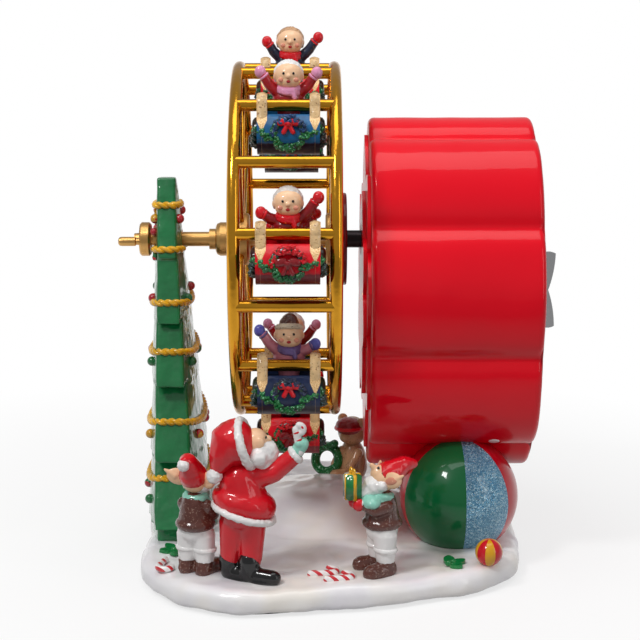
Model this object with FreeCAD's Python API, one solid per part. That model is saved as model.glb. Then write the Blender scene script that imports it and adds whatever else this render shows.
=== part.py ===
import FreeCAD, Part
import math
import os

# A wind-up musical ferris wheel on a snowy base, in millimetres.
# X runs along the wheel's axle from the tree (-X) to the winding key (+X), -Y is the side with the figures.
# The origin lies on the resting face, straight below the middle of the wheel.

V = FreeCAD.Vector
AXIS_X = V(1, 0, 0)
AXIS_Y = V(0, 1, 0)
AXIS_Z = V(0, 0, 1)

# Wheel
axle_height = 169.0
rung_circle_radius = 92.0
wheel_phase = 9.0
gondola_count = 8
ring_half_spacing = 25.1
ring_tube_radius = 3.2
rung_radius = 3.05
spoke_radius = 1.9
hub_boss_radius = 9.1
hub_flange_radius = 14.0
hub_flange_thickness = 9.0
hub_boss_length = 9.2
wheel_disc_radius = 25.0
wheel_disc_thickness = 2.2

# Axle, crank and drive shaft
axle_radius = 3.4
crank_disc_radius = 9.15
crank_disc_thickness = 5.8
crank_disc_front = -79.8
crank_stub_length = 3.2
crank_pin_radius = 2.5
crank_pin_length = 11.2
crank_pin_offset = 6.0
collar_radius = 5.6
collar_thickness = 3.5
sleeve_radius = 3.9
shaft_radius = 4.7
shaft_end = 78.0
bearing_clearance = 0.06
running_gap = 0.3
bush_wall = 1.6
bush_flange = 1.5

# Gondolas and their riders, sizes from the rung that carries them
gondola_shift = 1.5
gondola_half_length = 15.6
gondola_cheek_length = 2.8
gondola_cheek_radius = 7.2
gondola_drop = 24.5
gondola_lip_drop = 3.2
gondola_depth = 13.0
gondola_rim_wall = 1.6
gondola_seat_depth = 3.4
strap_width = 5.2
strap_wall = 2.7
strap_centre = 13.2
rider_head_radius = 7.0
rider_head_height = 14.8
rider_setback = 8.6
rider_chest_radius = 5.2
rider_arm_radius = 2.1
rider_mitten_radius = 2.9

# Snow base
felt_thickness = 1.2
felt_margin = 7.0
snow_height = 13.0
snow_edge_radius = 6.0
snow_foot_radius = 2.5
mound_x = 22.0
mound_y = 16.0
mound_height = 27.0
mound_radius = 60.0
base_front = 124.0

# Tree
tree_tip_height = 202.5
tree_foot = snow_height
tier_edge_heights = (161.0, 127.5, 94.5, 55.5, 21.0)
tier_half_widths = (20.0, 29.0, 38.0, 46.0, 52.0)
tier_neck_share = 0.52
tier_overlap = 9.0
tree_front_tip = -70.2
tree_back_tip = -59.8
tree_front_foot = -77.6
tree_back_foot = -41.0
tree_tip_width = 4.2
tip_rim_share = 0.9
bough_root_rim_share = 0.74
bough_edge_rim_share = 0.58
bough_root_thinning = 0.93
foot_thinning = 0.9
scallop_depth = 2.6
garland_heights = (188.0, 164.5, 136.0, 109.5, 71.5, 40.5)
garland_width = 4.2
garland_relief = 1.1
garland_swag_radius = 150.0
bead_radius = 2.6
bead_rise = 11.0
bead_step = 3.0
tip_bead_rise = 20.0
rosette_leaf_length = 11.0
rosette_leaf_width = 3.2
rosette_leaf_thickness = 1.6
rosette_leaf_start = 7.0
rosette_berry_radius = 2.1
rosette_berry_circle = 10.0
rosette_sink = 1.0

# Housing of the movement, an eight-lobed flower
housing_front = 43.4
housing_length = 87.6
housing_centre_height = 139.6
housing_half_height = 95.2
housing_half_depth = 71.8
lobe_count = 8
lobe_phase = -83.5
groove_share = 0.955
housing_wall = 4.0
housing_edge_radius = 3.0
groove_radius = 5.0
petal_thickness = 1.8
cover_thickness = 4.0
cover_gap = 0.1
screw_radius = 1.5
screw_head_radius = 2.8
screw_head_height = 1.6

# Musical movement
gear_module = 0.8
wheel_gear_teeth = 30
barrel_gear_teeth = 40
cylinder_gear_teeth = 20
gear_backlash = 0.24
gear_width = 5.0
gear_plane = 68.0
governor_module = 0.6
governor_wheel_teeth = 36
governor_pinion_teeth = 12
governor_plane = 98.5
governor_gear_width = 2.5
governor_angle = -60.0
cheek_front = 60.0
cheek_rear = 108.0
cheek_thickness = 3.0
bedplate_top = 114.0
bedplate_thickness = 4.0
bedplate_near = -24.0
bedplate_far = 54.0
barrel_radius = 15.0
barrel_start = 76.0
barrel_length = 20.0
barrel_wall = 1.4
arbor_radius = 2.5
spring_strip = 0.7
spring_turns = 4
cylinder_radius = 7.0
cylinder_pivot_radius = 1.6
comb_tooth_count = 18
comb_pitch = 1.05
comb_slot = 0.3
comb_thickness = 1.1
comb_reach = 14.0
pin_height = 0.45
pin_radius = 0.35
fan_radius = 6.2
fan_thickness = 0.8

# Winding key
key_gap = 2.0
key_boss_radius = 4.6
key_boss_length = 3.0
key_wing_span = 42.0
key_wing_thickness = 2.4
key_tip_inner = 5.0
key_tip_outer = 12.8
key_waist = 9.2

# Figures and toys
figure_x = -22.0
figure_y = -101.0
elf_left_x = -45.0
elf_left_y = -93.0
elf_right_x = 48.0
elf_right_y = -92.0
toy_ball_radius = 33.0
toy_ball_x = 92.0
toy_ball_y = 42.0
toy_ball_z = 41.0
striped_ball_radius = 7.0
striped_ball_x = 103.0
striped_ball_y = -82.0
cane_radius = 1.6
cane_hook_radius = 3.6
cane_length = 10.0
teddy_x = 37.0
teddy_y = 52.0
wreath_x = 22.0
wreath_y = 50.0

# Derived places
hub_inner = ring_half_spacing - hub_flange_thickness / 2
hub_outer = ring_half_spacing + hub_flange_thickness / 2
hub_front_face = -(hub_outer + hub_boss_length)
housing_rear = housing_front + housing_length
arbor_height = axle_height - gear_module * (wheel_gear_teeth + barrel_gear_teeth) / 2
cylinder_y = gear_module * (barrel_gear_teeth + cylinder_gear_teeth) / 2
governor_distance = governor_module * (governor_wheel_teeth + governor_pinion_teeth) / 2
governor_y = cylinder_y + governor_distance * math.cos(math.radians(governor_angle))
governor_z = arbor_height + governor_distance * math.sin(math.radians(governor_angle))


# Small helpers
def save(shape, name):
    shape.exportStep("parts/" + name + ".step")


def fuse(shapes):
    if len(shapes) == 1:
        return shapes[0]
    return shapes[0].multiFuse(shapes[1:]).removeSplitter()


def bar(centre, axis, radius, length):
    return Part.makeCylinder(radius, length, centre, axis)


def x_bar(radius, start, end, y=0.0, z=axle_height):
    return Part.makeCylinder(radius, end - start, V(start, y, z), AXIS_X)


def ball(x, y, z, radius):
    return Part.makeSphere(radius, V(x, y, z))


def block(x0, x1, y0, y1, z0, z1):
    return Part.makeBox(x1 - x0, y1 - y0, z1 - z0, V(x0, y0, z0))


def cone(start, end, radius_start, radius_end):
    run = end - start
    if abs(radius_start - radius_end) < 1e-6:
        return Part.makeCylinder(radius_start, run.Length, start, run)
    return Part.makeCone(radius_start, radius_end, run.Length, start, run)


def limb(start, end, radius_start, radius_end):
    """A round-ended rod: one sphere at each point and the cone that touches both."""
    run = end - start
    tilt = (radius_start - radius_end) / run.Length
    touch = math.asin(tilt)
    low_turn = (touch - math.pi / 2) / 2
    high_turn = (touch + math.pi / 2) / 2
    bottom = V(0, 0, -radius_start)
    low_middle = V(radius_start * math.cos(low_turn), 0, radius_start * math.sin(low_turn))
    low = V(radius_start * math.cos(touch), 0, radius_start * tilt)
    high = V(radius_end * math.cos(touch), 0, run.Length + radius_end * tilt)
    high_middle = V(radius_end * math.cos(high_turn), 0, run.Length + radius_end * math.sin(high_turn))
    top = V(0, 0, run.Length + radius_end)
    profile = Part.Wire([
        Part.Arc(bottom, low_middle, low).toShape(), Part.makeLine(low, high),
        Part.Arc(high, high_middle, top).toShape(), Part.makeLine(top, bottom),
    ])
    solid = Part.Face(profile).revolve(V(0, 0, 0), AXIS_Z, 360)
    solid.Placement = FreeCAD.Placement(start, FreeCAD.Rotation(AXIS_Z, run))
    return solid


def torus_x(x, radius, tube, y=0.0, z=axle_height):
    return Part.makeTorus(radius, tube, V(x, y, z), AXIS_X)


def turned(profile, foot, axis=AXIS_Z):
    """A solid of revolution: the profile lists (radius, height) from the foot up, smoothed between its ends."""
    points = [V(radius, 0, height) for radius, height in profile]
    curve = Part.BSplineCurve()
    curve.interpolate(points)
    bottom = V(0, 0, points[0].z)
    top = V(0, 0, points[-1].z)
    edges = [curve.toShape()]
    if points[-1].x > 1e-6:
        edges.append(Part.makeLine(points[-1], top))
    edges.append(Part.makeLine(top, bottom))
    if points[0].x > 1e-6:
        edges.append(Part.makeLine(bottom, points[0]))
    solid = Part.Face(Part.Wire(edges)).revolve(V(0, 0, 0), AXIS_Z, 360)
    solid.Placement = FreeCAD.Placement(foot, FreeCAD.Rotation(AXIS_Z, axis))
    return solid


def stepped(profile, x0, y=0.0, z=axle_height):
    """A lathe-turned solid about an axis along X from (distance, radius) corners."""
    points = [V(x0 + run, 0, radius) for run, radius in profile]
    points = [V(points[0].x, 0, 0)] + points + [V(points[-1].x, 0, 0)]
    face = Part.Face(Part.makePolygon(points + [points[0]]))
    solid = face.revolve(V(0, 0, 0), AXIS_X, 360)
    solid.translate(V(0, y, z))
    return solid


def leaf(length, half_width, thickness):
    """A pointed leaf in the X-Y plane with its stalk at the origin and its tip on +X."""
    stalk = V(0, 0, 0)
    tip = V(length, 0, 0)
    near = Part.Arc(stalk, V(length / 2, -half_width, 0), tip).toShape()
    far = Part.Arc(tip, V(length / 2, half_width, 0), stalk).toShape()
    return Part.Face(Part.Wire([near, far])).extrude(V(0, 0, thickness))


def placed(shape, position, turn=0.0, lean=0.0, roll=0.0):
    """A copy turned about Z, leaned up from level and rolled about its own length, then moved."""
    copy = shape.copy()
    rotation = FreeCAD.Rotation(AXIS_Z, turn)
    rotation = rotation.multiply(FreeCAD.Rotation(AXIS_Y, -lean))
    rotation = rotation.multiply(FreeCAD.Rotation(AXIS_X, roll))
    copy.Placement = FreeCAD.Placement(position, rotation)
    return copy


def spot(angle, radius=rung_circle_radius):
    """The point of the wheel circle at an angle from the near side, upward."""
    turn = math.radians(angle)
    return V(0, -radius * math.cos(turn), axle_height + radius * math.sin(turn))


# Snow base
def base_outline(inset, height):
    """The cast snow's outline: the near half by its corners, the far half its mirror image."""
    near = [
        (-77, 0), (-76, -42), (-72, -82), (-57, -106), (-26, -base_front), (12, -120),
        (50, -113), (80, -101), (102, -90), (118, -70), (124, -40), (125, 0),
    ]
    far = [(x, -y) for x, y in reversed(near[1:-1])]
    middle = V(23.5, 0, 0)
    points = []
    for x, y in near + far:
        arm = V(x, y, 0) - middle
        arm = arm * (1 - inset / arm.Length)
        points.append(V(middle.x + arm.x, middle.y + arm.y, height))
    curve = Part.BSplineCurve()
    curve.interpolate(Points=points, PeriodicFlag=True)
    return Part.Wire([curve.toShape()])


def mound_level(x, y):
    """The height of the snow at a place on the base."""
    rise = mound_height - snow_height
    sphere = (mound_radius ** 2 + rise ** 2) / (2 * rise)
    away = math.hypot(x - mound_x, y - mound_y)
    if away > mound_radius:
        return snow_height
    return mound_height - sphere + math.sqrt(sphere ** 2 - away ** 2)


def make_snow():
    slab = Part.Face(base_outline(0, felt_thickness)).extrude(V(0, 0, snow_height - felt_thickness))
    top = [edge for edge in slab.Edges if edge.BoundBox.ZMin > snow_height - 0.01]
    slab = slab.makeFillet(snow_edge_radius, top)
    foot = [edge for edge in slab.Edges if edge.BoundBox.ZMax < felt_thickness + 0.01]
    slab = slab.makeFillet(snow_foot_radius, foot)
    rise = mound_height - snow_height
    sphere = (mound_radius ** 2 + rise ** 2) / (2 * rise)
    cap = ball(mound_x, mound_y, mound_height - sphere, sphere)
    reach = mound_radius + 5
    window = block(mound_x - reach, mound_x + reach, mound_y - reach, mound_y + reach,
                   snow_height - 3, mound_height + 1)
    return slab.fuse(cap.common(window)).removeSplitter()


def make_felt():
    return Part.Face(base_outline(felt_margin, 0)).extrude(V(0, 0, felt_thickness))


# Christmas tree that carries the front end of the axle
def tree_face(height, tip_x, foot_x):
    share = (tree_tip_height - height) / (tree_tip_height - tree_foot)
    return tip_x + (foot_x - tip_x) * share


def tree_section(height, half_width, rim_share, grow, thinning=1.0):
    """One level section: a lens with two curved faces and a flat rim at each side."""
    front = tree_face(height, tree_front_tip, tree_front_foot)
    back = tree_face(height, tree_back_tip, tree_back_foot)
    middle = (front + back) / 2
    half = (back - front) / 2 * thinning + grow
    rim = (back - front) / 2 * thinning * rim_share + grow
    width = half_width + grow
    corners = [V(middle - rim, -width, height), V(middle - rim, width, height),
               V(middle + rim, width, height), V(middle + rim, -width, height)]
    edges = [
        Part.Arc(corners[0], V(middle - half, 0, height), corners[1]).toShape(),
        Part.makeLine(corners[1], corners[2]),
        Part.Arc(corners[2], V(middle + half, 0, height), corners[3]).toShape(),
        Part.makeLine(corners[3], corners[0]),
    ]
    return Part.Wire(edges)


def scallops(height, half_width, count):
    """Round cutters that shape the drooping boughs along one tier's lower edge."""
    pitch = 2 * half_width / count
    chord = 0.86 * pitch
    radius = (chord ** 2 / 4 + scallop_depth ** 2) / (2 * scallop_depth)
    cutters = []
    for index in range(count):
        y = -half_width + (index + 0.5) * pitch
        centre = V(tree_front_foot - 10, y, height + scallop_depth - radius)
        cutters.append(bar(centre, AXIS_X, radius, tree_back_foot - tree_front_foot + 20))
    return cutters


def make_tiers(grow=0.0):
    """The five skirts of boughs, from the tip down, and the foot."""
    tiers = []
    upper_edge = tree_tip_height
    for index, (edge, half_width) in enumerate(zip(tier_edge_heights, tier_half_widths)):
        neck_height = upper_edge + (tier_overlap if index else grow)
        neck_width = half_width * tier_neck_share if index else tree_tip_width
        neck_rim_share = bough_root_rim_share if index else tip_rim_share
        skirt = Part.makeLoft([
            tree_section(neck_height, neck_width, neck_rim_share, grow, bough_root_thinning if index else 1.0),
            tree_section(edge, half_width, bough_edge_rim_share, grow),
        ], True, True)
        tiers.append(skirt.cut(fuse(scallops(edge, half_width, 3 + index))))
        upper_edge = edge
    foot_height = tier_edge_heights[-1] + scallop_depth + 4
    foot_width = tier_half_widths[-1] * 0.9
    tiers.append(Part.makeLoft([
        tree_section(tree_foot, foot_width, bough_edge_rim_share, grow, foot_thinning),
        tree_section(foot_height, foot_width, bough_edge_rim_share, grow, foot_thinning),
    ], True, True))
    return tiers


def make_garlands(tree):
    """Twisted gold cords that swag across both faces and wrap over the rims."""
    grown = fuse(make_tiers(garland_relief))
    reach = tree_front_foot - 10
    length = tree_back_foot - tree_front_foot + 20
    bands = []
    for height in garland_heights:
        centre = V(reach, 0, height + garland_swag_radius)
        outer = bar(centre, AXIS_X, garland_swag_radius + garland_width / 2, length)
        inner = bar(centre, AXIS_X, garland_swag_radius - garland_width / 2, length)
        lower = block(reach, reach + length, -80, 80, height - 10, height + 20)
        band = grown.common(outer.cut(inner).common(lower)).cut(tree)
        bands.extend(band.Solids)
    return Part.makeCompound(bands)


def face_of(shape, y, z, side):
    """Where a line along X meets the shape's outer face: side -1 in front, +1 behind."""
    edges = shape.common(Part.makeLine(V(-200, y, z), V(200, y, z))).Edges
    if side < 0:
        return min(edge.BoundBox.XMin for edge in edges)
    return max(edge.BoundBox.XMax for edge in edges)


def make_tree_ornaments(tiers, trims):
    """Round beads sunk into both faces of the tree, clear of the garlands."""
    beads = []
    for index, (tier, half_width) in enumerate(zip(tiers, tier_half_widths)):
        count = 2 + index // 2
        for place in range(count):
            y = half_width * 0.78 * (2 * (place + 0.5) / count - 1)
            rise = bead_rise if index else tip_bead_rise
            z = tier_edge_heights[index] + rise + bead_step * (place % 2)
            for side in (-1, 1):
                x = face_of(tier, y, z, side) + side * 0.6
                bead = Part.makeSphere(bead_radius, V(x, y, z), AXIS_X).cut(tier)
                for trim in trims:
                    if trim.BoundBox.intersect(bead.BoundBox):
                        bead = bead.cut(trim)
                beads.append(bead)
    return beads


def make_holly_rosette(tree, axle_room):
    """Three leaves and three berries round the axle hole on the tree's front."""
    x = face_of(tree, 7, axle_height - 3, -1)
    pieces = []
    for angle in (90, 210, 330):
        turn = math.radians(angle)
        out = V(0, math.cos(turn), math.sin(turn))
        blade = leaf(rosette_leaf_length, rosette_leaf_width, rosette_leaf_thickness)
        blade = laid(blade, V(x + rosette_sink, 0, axle_height) + out * rosette_leaf_start, out, AXIS_X * -1)
        pieces.append(blade.cut(axle_room).cut(tree))
        turn = math.radians(angle + 60)
        out = V(0, math.cos(turn), math.sin(turn)) * rosette_berry_circle
        berry = Part.makeSphere(rosette_berry_radius, V(x - 0.4, out.y, axle_height + out.z), AXIS_X)
        pieces.append(berry.cut(tree))
    return Part.makeCompound(pieces)


def laid(shape, position, along, normal):
    """A copy whose X axis lies along one direction and whose Z axis is the normal."""
    copy = shape.copy()
    rotation = FreeCAD.Rotation(along, normal.cross(along), normal, "XZY")
    copy.Placement = FreeCAD.Placement(position, rotation)
    return copy


# Ferris wheel
def make_ring(side):
    return torus_x(side * ring_half_spacing, rung_circle_radius, ring_tube_radius)


def make_rungs(start_angle, rings):
    rungs = []
    for index in range(gondola_count):
        centre = spot(start_angle + 360 / gondola_count * index)
        rod = x_bar(rung_radius, -ring_half_spacing, ring_half_spacing, centre.y, centre.z)
        for ring in rings:
            rod = rod.cut(ring)
        rungs.append(rod)
    return Part.makeCompound(rungs)


def make_spokes(side, ring, hub, rungs):
    spokes = []
    for index in range(gondola_count):
        angle = wheel_phase + 360 / gondola_count * index
        inner = spot(angle, hub_flange_radius - 2)
        outer = spot(angle, rung_circle_radius - ring_tube_radius / 2)
        shift = V(side * ring_half_spacing, 0, 0)
        rod = cone(inner + shift, outer + shift, spoke_radius, spoke_radius)
        spokes.append(rod.cut(ring).cut(hub).cut(rungs))
    return Part.makeCompound(spokes)


def make_hub(side):
    """A turned hub: a flange in the ring's plane, with a long rounded boss on the front one."""
    flange = [(0, hub_flange_radius - 1), (1, hub_flange_radius),
              (hub_flange_thickness - 1, hub_flange_radius), (hub_flange_thickness, hub_flange_radius - 1)]
    hub = stepped(flange, -hub_outer)
    if side > 0:
        hub = stepped(flange, hub_inner)
    else:
        boss = [(0, hub_boss_radius - 2.2), (0.7, hub_boss_radius - 0.8), (2.4, hub_boss_radius),
                (hub_boss_length - 1.4, hub_boss_radius), (hub_boss_length, hub_boss_radius + 1.5)]
        hub = fuse([hub, stepped(boss, hub_front_face)])
    return hub.cut(x_bar(axle_radius, -60, 60))


def make_wheel_disc():
    profile = [(0, wheel_disc_radius - 0.6), (0.6, wheel_disc_radius),
               (wheel_disc_thickness - 0.6, wheel_disc_radius), (wheel_disc_thickness, wheel_disc_radius - 0.6)]
    return stepped(profile, hub_outer).cut(x_bar(shaft_radius, 0, 60))


def make_axle():
    return x_bar(axle_radius, crank_disc_front + crank_disc_thickness, hub_outer + 6)


def make_collar(bush_rear):
    start = bush_rear + running_gap
    collar_front = hub_front_face - collar_thickness
    profile = [(0, sleeve_radius), (collar_front - start, sleeve_radius),
               (collar_front - start, collar_radius), (hub_front_face - start, collar_radius)]
    return stepped(profile, start).cut(x_bar(axle_radius, -100, 0))


def make_crank_disc():
    edge = 0.9
    profile = [(-crank_stub_length, 3.1), (0, 3.4), (0, crank_disc_radius - edge), (edge, crank_disc_radius),
               (crank_disc_thickness - edge, crank_disc_radius), (crank_disc_thickness, crank_disc_radius - edge)]
    return stepped(profile, crank_disc_front)


def make_crank_pin(disc):
    """The handle: a turned pin with a rounded outer end and a waist by the disc."""
    profile = [(0, crank_pin_radius * 0.6), (0.7, crank_pin_radius * 0.92), (1.8, crank_pin_radius),
               (crank_pin_length - 2.2, crank_pin_radius), (crank_pin_length - 1.6, crank_pin_radius * 0.7),
               (crank_pin_length, crank_pin_radius * 0.7)]
    pin = stepped(profile, crank_disc_front - crank_pin_length, -crank_pin_offset, axle_height - 0.5)
    return pin.cut(disc)


def make_drive_shaft():
    shaft = x_bar(shaft_radius, hub_outer, shaft_end)
    socket = x_bar(axle_radius, hub_outer - 1, hub_outer + 6)
    pivot = x_bar(shaft_radius * 0.5, shaft_end, shaft_end + running_gap + cheek_thickness)
    return fuse([shaft.cut(socket), pivot])


# Gondolas, in their own frame with the rung's middle at the origin
def prism_x(points, start, length):
    """Straight-sided outline in the Y-Z plane, extruded along X."""
    corners = [V(start, y, z) for y, z in points]
    return Part.Face(Part.makePolygon(corners + [corners[0]])).extrude(V(length, 0, 0))


def make_car():
    """A barrel-bellied tub with round end cheeks, hung by two eyes round the rung."""
    seat = -gondola_lip_drop - gondola_seat_depth
    belly = [
        V(0, -6.0, -gondola_lip_drop - 1.0), V(0, -11.0, -9.0), V(0, -gondola_depth, -14.5),
        V(0, -10.0, -21.2), V(0, 0.5, -gondola_drop), V(0, 10.6, -20.8),
        V(0, gondola_depth, -11.0), V(0, gondola_depth - 0.4, 1.0),
    ]
    curve = Part.BSplineCurve()
    curve.interpolate(belly)
    back = V(0, gondola_depth - gondola_rim_wall - 1.0, 1.0)
    side = V(0, 6.0, -gondola_lip_drop - 1.0)
    edges = [curve.toShape(), Part.makeLine(belly[-1], back), Part.makeLine(back, side),
             Part.makeLine(side, belly[0])]
    tub = Part.Face(Part.Wire(edges)).extrude(V(2 * gondola_half_length, 0, 0))
    tub.translate(V(-gondola_half_length, 0, 0))
    pocket_x = gondola_half_length - gondola_rim_wall
    pocket = block(-pocket_x, pocket_x, -4.6, gondola_depth - gondola_rim_wall, seat, 4)
    cheeks = []
    eyes = []
    hole = rung_radius + bearing_clearance
    for side_sign in (-1, 1):
        start = side_sign * gondola_half_length
        run = side_sign * gondola_cheek_length
        profile = [(0, gondola_cheek_radius), (run * 0.5, gondola_cheek_radius - 0.4),
                   (run * 0.85, gondola_cheek_radius - 1.6), (run, gondola_cheek_radius - 3.4)]
        cheeks.append(stepped(profile, start, 0.0, -13.0))
        eye_start = side_sign * strap_centre - strap_width / 2
        eye = x_bar(hole + strap_wall, eye_start, eye_start + strap_width, 0, 0)
        tongue = prism_x([(-hole - strap_wall, 0), (-9.6, -11.5), (-6.0, -12.5), (4.5, -12.5),
                          (hole + strap_wall, 0)], eye_start, strap_width)
        eyes.extend([eye, tongue])
    car = fuse([tub.cut(pocket)] + cheeks + eyes)
    return car.cut(x_bar(hole, -30, 30, 0, 0))


def make_rider(style):
    """A seated passenger behind the rung: coat, scarf, head, hair or hat, and two mittened arms."""
    seat = -gondola_lip_drop - gondola_seat_depth
    lift = rider_head_height - rider_head_radius
    coat = turned([(6.9, seat), (6.7, seat + 4), (6.2, 2.5), (5.0, 6.4), (3.0, lift + 0.6)],
                  V(0, rider_setback - 0.6, 0))
    chest = rung_radius + 0.5
    back = gondola_depth - gondola_rim_wall - running_gap
    coat = coat.common(block(-10, 10, chest, back, seat, 20))
    lap = block(-8.5, 8.5, -4.3, chest + 1, seat, seat + 1.7)
    head = ball(0, rider_setback - 2.2, rider_head_height, rider_head_radius)
    scarf = Part.makeTorus(3.7, 1.7, V(0, rider_setback - 1.6, lift + 0.2), V(0, -0.25, 1))
    pieces = [coat, lap, head, scarf]
    if style["hat"]:
        brim = Part.makeTorus(5.2, 1.5, V(0, rider_setback - 1.0, rider_head_height + 2.4), V(0, 0.35, 1))
        crown = limb(V(0, rider_setback - 0.6, rider_head_height + 3.6),
                     V(0, rider_setback + 0.6, rider_head_height + 6.0), 5.0, 3.4)
        pieces.extend([brim, crown])
    else:
        pieces.append(ball(0, rider_setback - 1.2, rider_head_height + 0.9, rider_head_radius + 0.3))
    for side, hand in ((-1, style["left"]), (1, style["right"])):
        shoulder = V(side * 5.0, rider_setback - 0.8, 5.4)
        palm = V(hand[0], rider_setback - 2.6, hand[1])
        wrist = shoulder + (palm - shoulder) * 0.82
        pieces.append(limb(shoulder, wrist, rider_arm_radius + 0.5, rider_arm_radius))
        pieces.append(Part.makeSphere(rider_mitten_radius, palm))
    return fuse(pieces)


# The two ways a rider holds their arms: both up, or one up and one on the strap
WAVING_RIGHT = {"hat": False, "left": (-13.2, 9.6), "right": (14.8, 17.0)}
WAVING_LEFT = {"hat": True, "left": (-14.8, 16.6), "right": (13.2, 9.6)}
BOTH_UP = {"hat": False, "left": (-14.2, 16.4), "right": (14.2, 15.8)}
WAVING_UP = {"hat": False, "left": (-12.6, 14.4), "right": (15.2, 16.6)}
rider_styles = (WAVING_RIGHT, BOTH_UP, WAVING_UP, WAVING_LEFT)


# Housing of the movement
def flower_point(angle, share, inset):
    turn = math.radians(angle)
    return V(0, -(housing_half_depth - inset) * share * math.cos(turn),
             housing_centre_height + (housing_half_height - inset) * share * math.sin(turn))


def flower_outline(inset, x):
    """Eight round lobes as arcs between the grooves."""
    pitch = 360 / lobe_count
    arcs = []
    for index in range(lobe_count):
        middle = lobe_phase + index * pitch
        start = flower_point(middle - pitch / 2, groove_share, inset)
        crest = flower_point(middle, 1.0, inset)
        end = flower_point(middle + pitch / 2, groove_share, inset)
        shift = V(x, 0, 0)
        arcs.append(Part.Arc(start + shift, crest + shift, end + shift).toShape())
    return Part.Wire(arcs)


def make_housing_block():
    solid = Part.Face(flower_outline(0, housing_front)).extrude(V(housing_length, 0, 0))
    grooves = [edge for edge in solid.Edges if abs(edge.BoundBox.XLength - housing_length) < 0.5]
    solid = solid.makeFillet(groove_radius, grooves)
    rims = [edge for edge in solid.Edges if edge.BoundBox.XLength < 0.01]
    return solid.makeFillet(housing_edge_radius, rims)


def make_housing(solid):
    cavity = Part.Face(flower_outline(housing_wall, housing_front + housing_wall))
    cavity = cavity.extrude(V(housing_length, 0, 0))
    bush_hole = x_bar(shaft_radius + bearing_clearance + bush_wall, housing_front - 1,
                      housing_front + housing_wall + 1)
    return solid.cut(cavity).cut(bush_hole)


def make_petals():
    """Two overlapping whorls of pointed petals on the housing's front face."""
    petals = []
    pitch = 360 / lobe_count
    whorls = ((0.0, 0.9, 25.0, 0.0, petal_thickness), (0.5, 0.62, 17.0, 0.0, 2 * petal_thickness))
    for offset, share, half_width, start, thickness in whorls:
        for index in range(lobe_count):
            angle = lobe_phase + (index + offset) * pitch
            tip = flower_point(angle, share, 0)
            stalk = V(0, 0, housing_centre_height)
            out = tip - stalk
            length = out.Length
            out.normalize()
            blade = leaf(length, half_width, thickness)
            petals.append(laid(blade, stalk + V(housing_front, 0, 0), out, AXIS_X * -1))
    shaft_hole = x_bar(shaft_radius + bearing_clearance + bush_wall + bush_flange + 1.0, 20, 60)
    return fuse(petals).cut(shaft_hole)


def make_bush(start, end, flange_side):
    """A flanged plain bush for the axle or the shaft."""
    bore = (axle_radius if start < 0 else shaft_radius) + bearing_clearance
    tube = x_bar(bore + bush_wall, start, end)
    if flange_side < 0:
        flange = x_bar(bore + bush_wall + bush_flange, start - bush_flange, start)
    else:
        flange = x_bar(bore + bush_wall + bush_flange, end, end + bush_flange)
    return fuse([tube, flange]).cut(x_bar(bore, start - 5, end + 5))


def cover_spots():
    """The four screws that hold the movement to the cover."""
    return [(y, z) for y in (bedplate_near + 5, bedplate_far - 5)
            for z in (bedplate_top + 6, arbor_height + 14)]


def make_cover():
    start = housing_rear - cover_thickness
    plate = Part.Face(flower_outline(housing_wall + cover_gap, start)).extrude(V(cover_thickness, 0, 0))
    posts = [x_bar(3.2, cheek_rear + cheek_thickness, start, y, z) for y, z in cover_spots()]
    cover = fuse([plate] + posts)
    for y, z in cover_spots():
        cover = cover.cut(x_bar(screw_radius, cheek_rear, housing_rear + 1, y, z))
    return cover.cut(x_bar(arbor_radius + 1.0, start - 1, housing_rear + 1, 0, arbor_height))


def make_cover_screws():
    screws = []
    for y, z in cover_spots():
        head = stepped([(0, screw_head_radius), (screw_head_height * 0.6, screw_head_radius * 0.9),
                        (screw_head_height, screw_head_radius * 0.5)], housing_rear, y, z)
        shank = x_bar(screw_radius, cheek_rear + cheek_thickness, housing_rear, y, z)
        screws.append(fuse([head, shank]))
    return Part.makeCompound(screws)


# Musical movement
def spur_gear(module, teeth, width, start, y, z, turn, bore):
    """A spur gear with straight-flanked teeth; turn is the angle of one tooth's middle."""
    pitch_radius = module * teeth / 2
    root = pitch_radius - 1.2 * module
    tip = pitch_radius + 0.92 * module
    half = math.pi / (2 * teeth) - gear_backlash * module / (2 * pitch_radius)
    slope = math.tan(math.radians(20)) / pitch_radius
    root_half = half + slope * (pitch_radius - root)
    tip_half = half - slope * (tip - pitch_radius)
    points = []
    for index in range(teeth):
        middle = math.radians(turn) + 2 * math.pi * index / teeth
        for radius, angle in ((root, -root_half), (tip, -tip_half), (tip, tip_half), (root, root_half)):
            points.append((y + radius * math.cos(middle + angle), z + radius * math.sin(middle + angle)))
    gear = prism_x(points, start, width)
    return gear.cut(x_bar(bore, start - 1, start + width + 1, y, z))


def make_wheel_gear():
    """Pressed on the drive shaft; a gap between two of its teeth faces the barrel's gear below."""
    return spur_gear(gear_module, wheel_gear_teeth, gear_width, gear_plane, 0, axle_height,
                     -90 + 180 / wheel_gear_teeth, shaft_radius)


def make_barrel():
    """The spring barrel: a drum with its lid, and the great wheel on a sleeve in front of it."""
    gear = spur_gear(gear_module, barrel_gear_teeth, gear_width, gear_plane, 0, arbor_height, 90,
                     arbor_radius + bearing_clearance)
    sleeve = x_bar(5.0, gear_plane + gear_width, barrel_start, 0, arbor_height)
    drum = x_bar(barrel_radius, barrel_start, barrel_start + barrel_length, 0, arbor_height)
    room = x_bar(barrel_radius - barrel_wall, barrel_start + barrel_wall,
                 barrel_start + barrel_length - barrel_wall, 0, arbor_height)
    bore = x_bar(arbor_radius + bearing_clearance, gear_plane - 1,
                 barrel_start + barrel_length + 1, 0, arbor_height)
    return fuse([gear, sleeve, drum.cut(room)]).cut(bore)


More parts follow.
